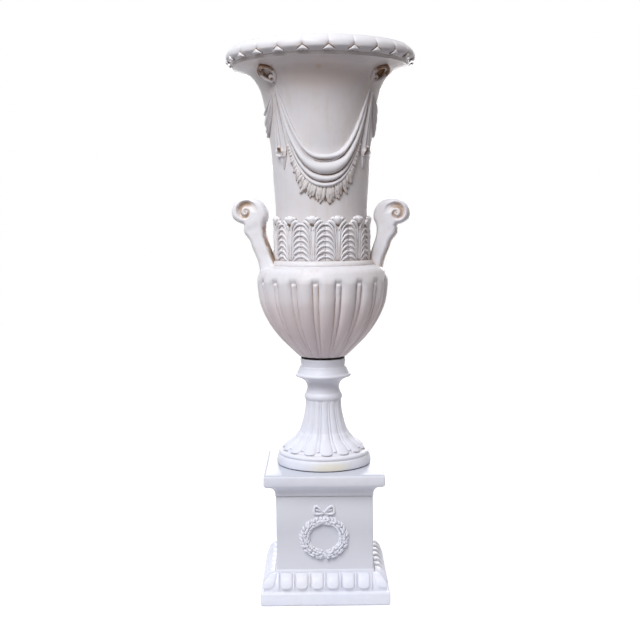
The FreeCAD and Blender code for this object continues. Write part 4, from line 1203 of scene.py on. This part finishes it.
def leafHollow(points):
    # the brown shade under the curled tip of each leaf
    pitch = 360 / leaf["count"]
    angle = angleOf(points) % pitch - pitch / 2
    across = np.radians(angle) * wallRadius(points[:, 2])
    return 0.9 * (1 - ease(0.5, 1.0, np.hypot((across + 1) / 6.5, (points[:, 2] - 757.5) / 3.6)))


def makeCollar():
    mesh = cleaned(meshFrom("acanthusLeaf", *makeLeaf()), 0.0)
    addPiece("leafCollar", ringOf("leafCollar", mesh, leaf["count"]), "leaf_collar", leafGlaze, 3,
             hollowAt=leafHollow)


# handles: crowned stems that roll up into a scroll

scroll = {
    "reach": 182.0, "root": 659.5, "rise": 150.0, "depth": 50.0, "eye": (155.5, 779.5),
    "voxel": 1.0, "channelStart": 16.8, "channelTurns": 1.42, "channelDepth": 7.0,
    "twist": -15.0, "axis": 135.0,
    # for the right and the left handle: where the eye lies, and how tall the handle stands
    "eyeShift": (1.5, -5.0), "stretch": (1.0, 1.034),
    "shares": ((0.505, 0.130), (0.549, 0.240), (0.586, 0.365), (0.617, 0.480), (0.627, 0.585),
               (0.619, 0.655), (0.595, 0.720), (0.593, 0.785), (0.607, 0.855), (0.647, 0.930),
               (0.708, 0.982), (0.785, 1.0), (0.862, 0.995), (0.934, 0.955), (0.981, 0.890),
               (1.0, 0.805), (0.985, 0.725), (0.935, 0.672), (0.885, 0.648), (0.856, 0.635),
               (0.862, 0.590), (0.857, 0.530), (0.825, 0.475), (0.789, 0.415), (0.766, 0.330),
               (0.719, 0.200), (0.695, 0.105), (0.684, 0.020)),
    "rootShares": ((0.600, 0.020), (0.470, 0.075)),
    "depthShares": (-0.5, -0.47, -0.41, -0.32, -0.18, 0.0, 0.18, 0.32, 0.41, 0.47, 0.5),
    "narrow": (8.5, 4.9, 2.8, 1.2, 0.3, 0.0, 0.3, 1.2, 2.8, 4.9, 8.5),
}


def scrollDepth(dx, dz):
    # how deep the spiral channel of the scroll is at a distance from its eye
    far, turn = np.hypot(dx, dz), (pi - np.arctan2(dz, dx)) % tau
    depth = 3.2 * crown(far / 2.0, 2, 1)
    for lap in range(3):
        place = (turn + tau * lap - 0.9) / (tau * scroll["channelTurns"])
        middle = scroll["channelStart"] * (1 - place)
        half = np.maximum(0.42 * middle + 0.5, 1.2)
        deep = scroll["channelDepth"] * np.clip(middle / 12, 0.15, 1)
        cut = deep * crown((far - middle) / half, 2, 0.8)
        ends = ease(-0.13, 0.06, place) * (1 - ease(0.9, 1.0, place))
        depth = np.maximum(depth, cut * ends)
    return depth


def scrollPoints(shares):
    return np.array([(x * scroll["reach"], scroll["root"] + z * scroll["rise"])
                     for x, z in shares])


def makeHandle(name, cadNode, hand):
    # hand is 0 for the right handle and 1 for the left one
    eyeX, eyeZ = scroll["eye"][0] + scroll["eyeShift"][hand], scroll["eye"][1]
    outline = scrollPoints(scroll["shares"])
    skin = evenly(curveThrough(outline, 500), 150)
    root = evenly(np.vstack([skin[-1:], scrollPoints(scroll["rootShares"]), skin[:1]]), 40)
    ring = np.vstack([skin, root[1:-1]])
    run = unit(np.roll(ring, -1, axis=0) - np.roll(ring, 1, axis=0))
    inwards = np.stack([run[:, 1], -run[:, 0]], axis=1)
    inwards[len(skin):] = 0
    rows = []
    for share, narrow in zip(scroll["depthShares"], scroll["narrow"]):
        x, z = (ring + inwards * narrow).T
        rows.append(np.stack([x, np.full(len(ring), share * scroll["depth"]), z], axis=1))
    mesh = cleaned(meshFrom(name, *tube(rows), turned=False))
    mesh = voxelled(name, mesh, scroll["voxel"], 6)
    x, y, z = (readAll(mesh.vertices, "co") / mm).T
    out = np.abs(y) / scroll["depth"]
    # the stem's face is crowned and a shade thinner than the scroll
    thin = 3.0 * ease(24, 40, np.hypot(x - eyeX, z - eyeZ))
    thin = thin * (1 - 0.5 * np.clip((z - 690) / 70, 0, 1)) * ease(0.25, 0.42, out)
    y = y - np.sign(y) * (ease(0.36, 0.46, out) * scrollDepth(x - eyeX, z - eyeZ) + thin)
    mesh.vertices.foreach_set("co", (np.stack([x, y, z], axis=1) * mm).ravel())
    mesh.update()
    # each handle stands a little turned on its own axis
    shift = Matrix.Translation((scroll["axis"] * mm, 0, 0))
    base = Matrix.Translation((0, 0, scroll["root"] * mm))
    place = (Matrix.Rotation(pi * hand, 4, "Z")
             @ shift @ Matrix.Rotation(radians(scroll["twist"]), 4, "Z") @ shift.inverted()
             @ base @ Matrix.Scale(scroll["stretch"][hand], 4, (0, 0, 1)) @ base.inverted())
    mesh.transform(vaseMatrix @ place)
    back = np.array(place.inverted())
    innerEdge, outerEdge = outline[:9], outline[:-10:-1]

    def handleHollow(points):
        x, y, z = (points @ back[:3, :3].T + back[:3, 3] / mm).T
        out = np.abs(y) / scroll["depth"]
        inner = np.hypot(x - eyeX, z - eyeZ)
        channel = 0.20 * scrollDepth(x - eyeX, z - eyeZ) + 0.55 * (1 - ease(5, 15, inner))
        channel = channel * ease(0.2, 0.34, out) * (inner < 25)
        # painted shade: brown down the side that faces the bell, and a little less down the outer
        # side
        edge = np.interp(z, innerEdge[:, 1], innerEdge[:, 0])
        run = (1 - ease(1.5, 5.5, x - edge)) * (1 - ease(745, 765, z))
        edge = np.interp(z, outerEdge[:, 1], outerEdge[:, 0])
        away = (1 - ease(1.0, 4.5, edge - x)) * (1 - ease(748, 756, z))
        run = np.maximum(run, 0.8 * away) * (1 - ease(0.36, 0.45, out))
        return np.maximum(channel, 1.45 * run)

    addPiece(name, mesh, cadNode, handleGlaze, 16, "white_glaze", hollowAt=handleHollow)


# wreath and bow on the front of the pedestal

wreath = {"wide": 38.8, "tall": 35.0, "tube": 8.2, "relief": 6.6, "level": 130.5, "steps": 34,
          "berries": 40, "berry": 1.5, "die": 97.25, "shift": -1.0, "seed": 29,
          # where the leaves of one step stand across the ring, and how they lean
          "fans": ((-1.25, -0.75), (-0.6, -0.35), (0.05, 0.0), (0.65, 0.4), (1.25, 0.8))}
# ridges of one half of the bow, as path, widths, heights and steps: loop, fold and end
bowRidges = ((((1.0, 183.0), (8.0, 190.5), (14.5, 195.6), (18.6, 193.5), (20.2, 186.5),
               (18.0, 180.2), (9.0, 179.6), (1.5, 181.6)),
              (1.8, 3.0, 3.2, 2.8, 3.0, 2.8, 1.8), (5.0, 5.4, 5.6, 4.6, 5.0, 4.8, 4.6), 26),
             (((3, 184), (10, 186.5), (17, 188.5)), (2.0, 2.6, 2.2), (3.4, 3.4, 3.0), 8),
             (((1, 181), (5, 176.5), (9, 174.5)), (1.4, 1.7, 1.9), (3.0, 2.2, 1.6), 8))


def onDie(x, z, up):
    x, z, up = np.broadcast_arrays(x, z, up)
    return np.stack([x + wreath["shift"], -wreath["die"] - up, z], axis=-1)


def makeSprig():
    # a small pointed leaf with a middle fold, one unit long
    sprig = ridge(spacePlace, [(0, 0), (0.03, 0.35), (-0.02, 0.7), (0.05, 1.0)],
                  (0.30, 0.95, 0.85, 0.12), (0.5, 1.0, 0.9, 0.2), 6, 7, 0.4)
    return cleaned(meshFrom("sprig", *sprig, False, 1), 0.0001)


def makeBerry():
    work = bmesh.new()
    bmesh.ops.create_icosphere(work, subdivisions=1, radius=1.0)
    mesh = bpy.data.meshes.new("berry")
    work.to_mesh(mesh)
    work.free()
    return mesh


def wreathTube(turn):
    # the ring is thickest at its foot and sides and thin at its top
    return wreath["tube"] * (1.06 - 0.5 * ease(0.5, 1.0, abs((turn + pi) % tau - pi) / pi))


def wreathSpot(turn, tubeTurn, lean, size, lift=0.0):
    # a spot on the ring: turn from its foot, tubeTurn across it, lean from its run
    centre = np.array([wreath["wide"] * sin(turn), 0, -wreath["tall"] * cos(turn)])
    away = np.array([sin(turn), 0, -cos(turn)])
    ahead = np.array([cos(turn), 0, sin(turn)]) * (1 if turn > 0 else -1)
    side, front = away * sin(tubeTurn), np.array([0, -1.0, 0]) * cos(tubeTurn)
    out = side + front
    place = centre + (side * wreathTube(turn) + front * wreath["relief"]) * (0.72 + lift)
    place = place + np.array([wreath["shift"], -wreath["die"], wreath["level"]])
    along = ahead * cos(lean) + away * sin(lean)
    along = unit(unit(along - out * float(along @ out)) + out * 0.30)
    across = unit(np.cross(along, out))
    return place, [across, along, np.cross(across, along)], [v * mm for v in size]


def makeWreath():
    rng = np.random.default_rng(wreath["seed"])
    spots = []
    for k in range(wreath["steps"]):
        turn = -pi + tau * (k + 0.5) / wreath["steps"]
        low = max(0.0, cos(turn)) ** 2
        for tubeTurn, lean in wreath["fans"]:
            jitter = rng.uniform(-1, 1, 4)
            length = (10.5 + 1.8 * jitter[0]) * (1 - 0.22 * low)
            spots.append(wreathSpot(turn + 0.05 * jitter[1], tubeTurn + 0.15 * jitter[2],
                                    lean * (1 - 0.4 * low) + 0.3 * jitter[3],
                                    (3.1, length, 3.0)))
    leaves = spread("wreathLeaves", makeSprig(), spots, 0.85, 1.15, 7)
    spots = [wreathSpot(rng.uniform(-pi, pi), rng.uniform(-1.1, 1.1), 0.0,
                        [wreath["berry"]] * 3, 0.42) for k in range(wreath["berries"])]
    berries = spread("wreathBerries", makeBerry(), spots, 0.8, 1.25, 9)
    around, rows = circle(12), []
    for turn in circle(72):
        far = wreathTube(turn) * 0.80 * np.cos(around)
        rows.append(onDie((wreath["wide"] + far) * sin(turn),
                          wreath["level"] - (wreath["tall"] + far) * cos(turn),
                          wreath["relief"] * 0.7 * np.maximum(np.sin(around), -0.25)))
    core = meshFrom("core", np.vstack(rows), gridFaces(72, 12, True, True), turned=False)
    addPiece("laurelWreath", cleaned(merged("laurelWreath", [leaves, berries, core]), 0.0),
             "wreath", wreathGlaze, 3, body="pedestal")


def makeBow():
    # two three-cornered loops of ribbon, a knot and two short ends
    parts = [ridge(onDie, mirrored(path, hand), *sizes)
             for hand in (-1, 1) for path, *sizes in bowRidges]
    parts.append(ball(onDie, (0, 183.2, 1.6), (3.0, 3.6, 3.2)))
    mesh = cleaned(meshFrom("ribbonBow", *joined(parts), turned=False))
    addPiece("ribbonBow", mesh, "bow", wreathGlaze, 5, body="pedestal")


print("stage: swags, fringe, tails and knots")
makeSwag("frontSwag", "front_swag", 0, frontSwag)
makeSwag("rightSwag", "right_swag", 90, sideSwag)
makeSwag("backSwag", "back_swag", 180, frontSwag)
makeSwag("leftSwag", "left_swag", -90, sideSwag)
makeFringe("frontFringe", "front_fringe", 0)
makeFringe("backFringe", "back_fringe", 180)
makeTails()
makeKnots()
print("stage: collar, handles, wreath and bow")
makeCollar()
makeHandle("rightHandle", "handle_right", 0)
makeHandle("leftHandle", "handle_left", 1)
makeWreath()
makeBow()


# camera, floor and light

view = {"place": (-5.4, -2090, 762), "pitch": 5.5, "roll": -0.55, "focalPixels": 1016,
        "framePixels": 640, "sensor": 36.0}
light = {"zenith": (1.02, 1.055, 1.11, 1), "horizon": (0.18, 0.162, 0.16, 1),
         "ground": (0.090, 0.060, 0.054, 1), "left": 0.70, "right": 0.37,
         "cool": (0.96, 0.99, 1.05, 1), "ruddy": (1.12, 0.98, 0.90, 1),
         "floorNear": (0.768, 0.784, 0.832, 1), "floorFar": (0.1495, 0.1248, 0.117, 1),
         "glowNear": 0.55, "glowFar": 0.92}
# name, place, target, size in metres, watts, colour and spread of each lamp
lamps = (("keyLamp", (-0.95, -2.2, 3.05), (0, 0, 0.65), 2.2, 102, (0.985, 0.985, 1.0), 180),
         ("lowFill", (1.7, 0.0, 0.25), (0, 0, 0.0), 0.8, 0.42, (0.96, 0.98, 1.0), 50),
         ("backLamp", (0.3, 3.2, 1.0), (0, 0, 0.55), 1.8, 34, (0.985, 0.985, 1.0), 180))


def makeCamera():
    data = bpy.data.cameras.new("camera")
    data.sensor_width = view["sensor"]
    data.sensor_fit = "HORIZONTAL"
    data.lens = view["focalPixels"] / view["framePixels"] * view["sensor"]
    data.clip_start, data.clip_end = 0.05, 60
    camera = addObject("camera", data)
    camera.matrix_world = (Matrix.Translation([v * mm for v in view["place"]])
                           @ Matrix.Rotation(radians(90 - view["pitch"]), 4, "X")
                           @ Matrix.Rotation(radians(view["roll"]), 4, "Z"))
    bpy.context.scene.camera = camera


def addLamp(name, place, target, size, power, colour, spread):
    data = bpy.data.lights.new(name, "AREA")
    data.shape, data.size, data.spread = "DISK", size, radians(spread)
    data.energy, data.color = power, colour
    lamp = addObject(name, data)
    lamp.location = place
    aim = Vector(target) - Vector(place)
    lamp.rotation_euler = aim.to_track_quat("-Z", "Y").to_euler()


def directSwitch(tree, others, direct):
    # one shader for what the camera sees directly, in gloss or through glass, and one for the rest
    rays = tree.nodes.new("ShaderNodeLightPath").outputs
    seen = mathNode(tree, "MAXIMUM", rays["Is Camera Ray"], rays["Is Glossy Ray"])
    seen = mathNode(tree, "MAXIMUM", seen, rays["Is Transmission Ray"])
    return node(tree, "ShaderNodeMixShader", {0: seen, 1: others, 2: direct})


def makeFloor():
    points = [(6000 * cos(turn), 6000 * sin(turn), -0.4) for turn in circle(96)]
    mesh = meshFrom("floorDisc", points, [tuple(range(96))], turned=False)
    floor = addObject("floorDisc", mesh)
    material, tree, shader, where = shaderTree("paleFloor")
    far = node(tree, "ShaderNodeVectorMath", {0: where}, "Value", operation="LENGTH")
    away = rampNode(tree, far, 0.15, 0.95)
    fill(tree, shader, {"Base Color": mixColour(tree, away, light["floorNear"], light["floorFar"]),
                        "Roughness": 0.8})
    glow = rampNode(tree, away, 0, 1, light["glowNear"], light["glowFar"])
    switch = directSwitch(tree, node(tree, "ShaderNodeEmission", {"Strength": 0.0}),
                          node(tree, "ShaderNodeEmission", {"Strength": glow}))
    both = node(tree, "ShaderNodeAddShader", {0: shader.outputs[0], 1: switch})
    fill(tree, tree.nodes["Material Output"], {"Surface": both})
    mesh.materials.append(material)


def makeWorld():
    world = bpy.data.worlds.new("softSky")
    bpy.context.scene.world = world
    world.use_nodes = True
    tree = world.node_tree
    sky = tree.nodes["Background"]
    split = tree.nodes.new("ShaderNodeSeparateXYZ")
    fill(tree, split, {0: node(tree, "ShaderNodeTexCoord", out="Generated")})
    across, up = split.outputs["X"], split.outputs["Z"]
    colour = mixColour(tree, rampNode(tree, up, 0.0, 0.7), light["horizon"], light["zenith"])
    colour = mixColour(tree, rampNode(tree, up, -0.2, 0.05), light["ground"], colour)
    tint = mixColour(tree, rampNode(tree, across, -0.7, 0.7), light["cool"], light["ruddy"])
    fill(tree, sky, {"Color": mixColour(tree, 1.0, colour, tint, "MULTIPLY"),
                     "Strength": rampNode(tree, across, -0.8, 0.8, light["left"], light["right"])})
    white = node(tree, "ShaderNodeBackground", {"Color": (1, 1, 1, 1)})
    fill(tree, tree.nodes["World Output"], {"Surface": directSwitch(tree, sky.outputs[0], white)})


makeCamera()
makeFloor()
makeWorld()
for lamp in lamps:
    addLamp(*lamp)
bpy.context.scene.view_settings.view_transform = "Standard"
print("stage: camera, floor and light")

# CAD nodes that stay as they are get their own finish
for name, material in (("felt_ring", darkFelt), ("joint_gasket", blackRubber),
                       ("clamp_bolt", zincSteel), ("clamp_nut", zincSteel),
                       ("steel_washers", zincSteel), ("rubber_washers", blackRubber)):
    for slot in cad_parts[name].material_slots:
        slot.material = material
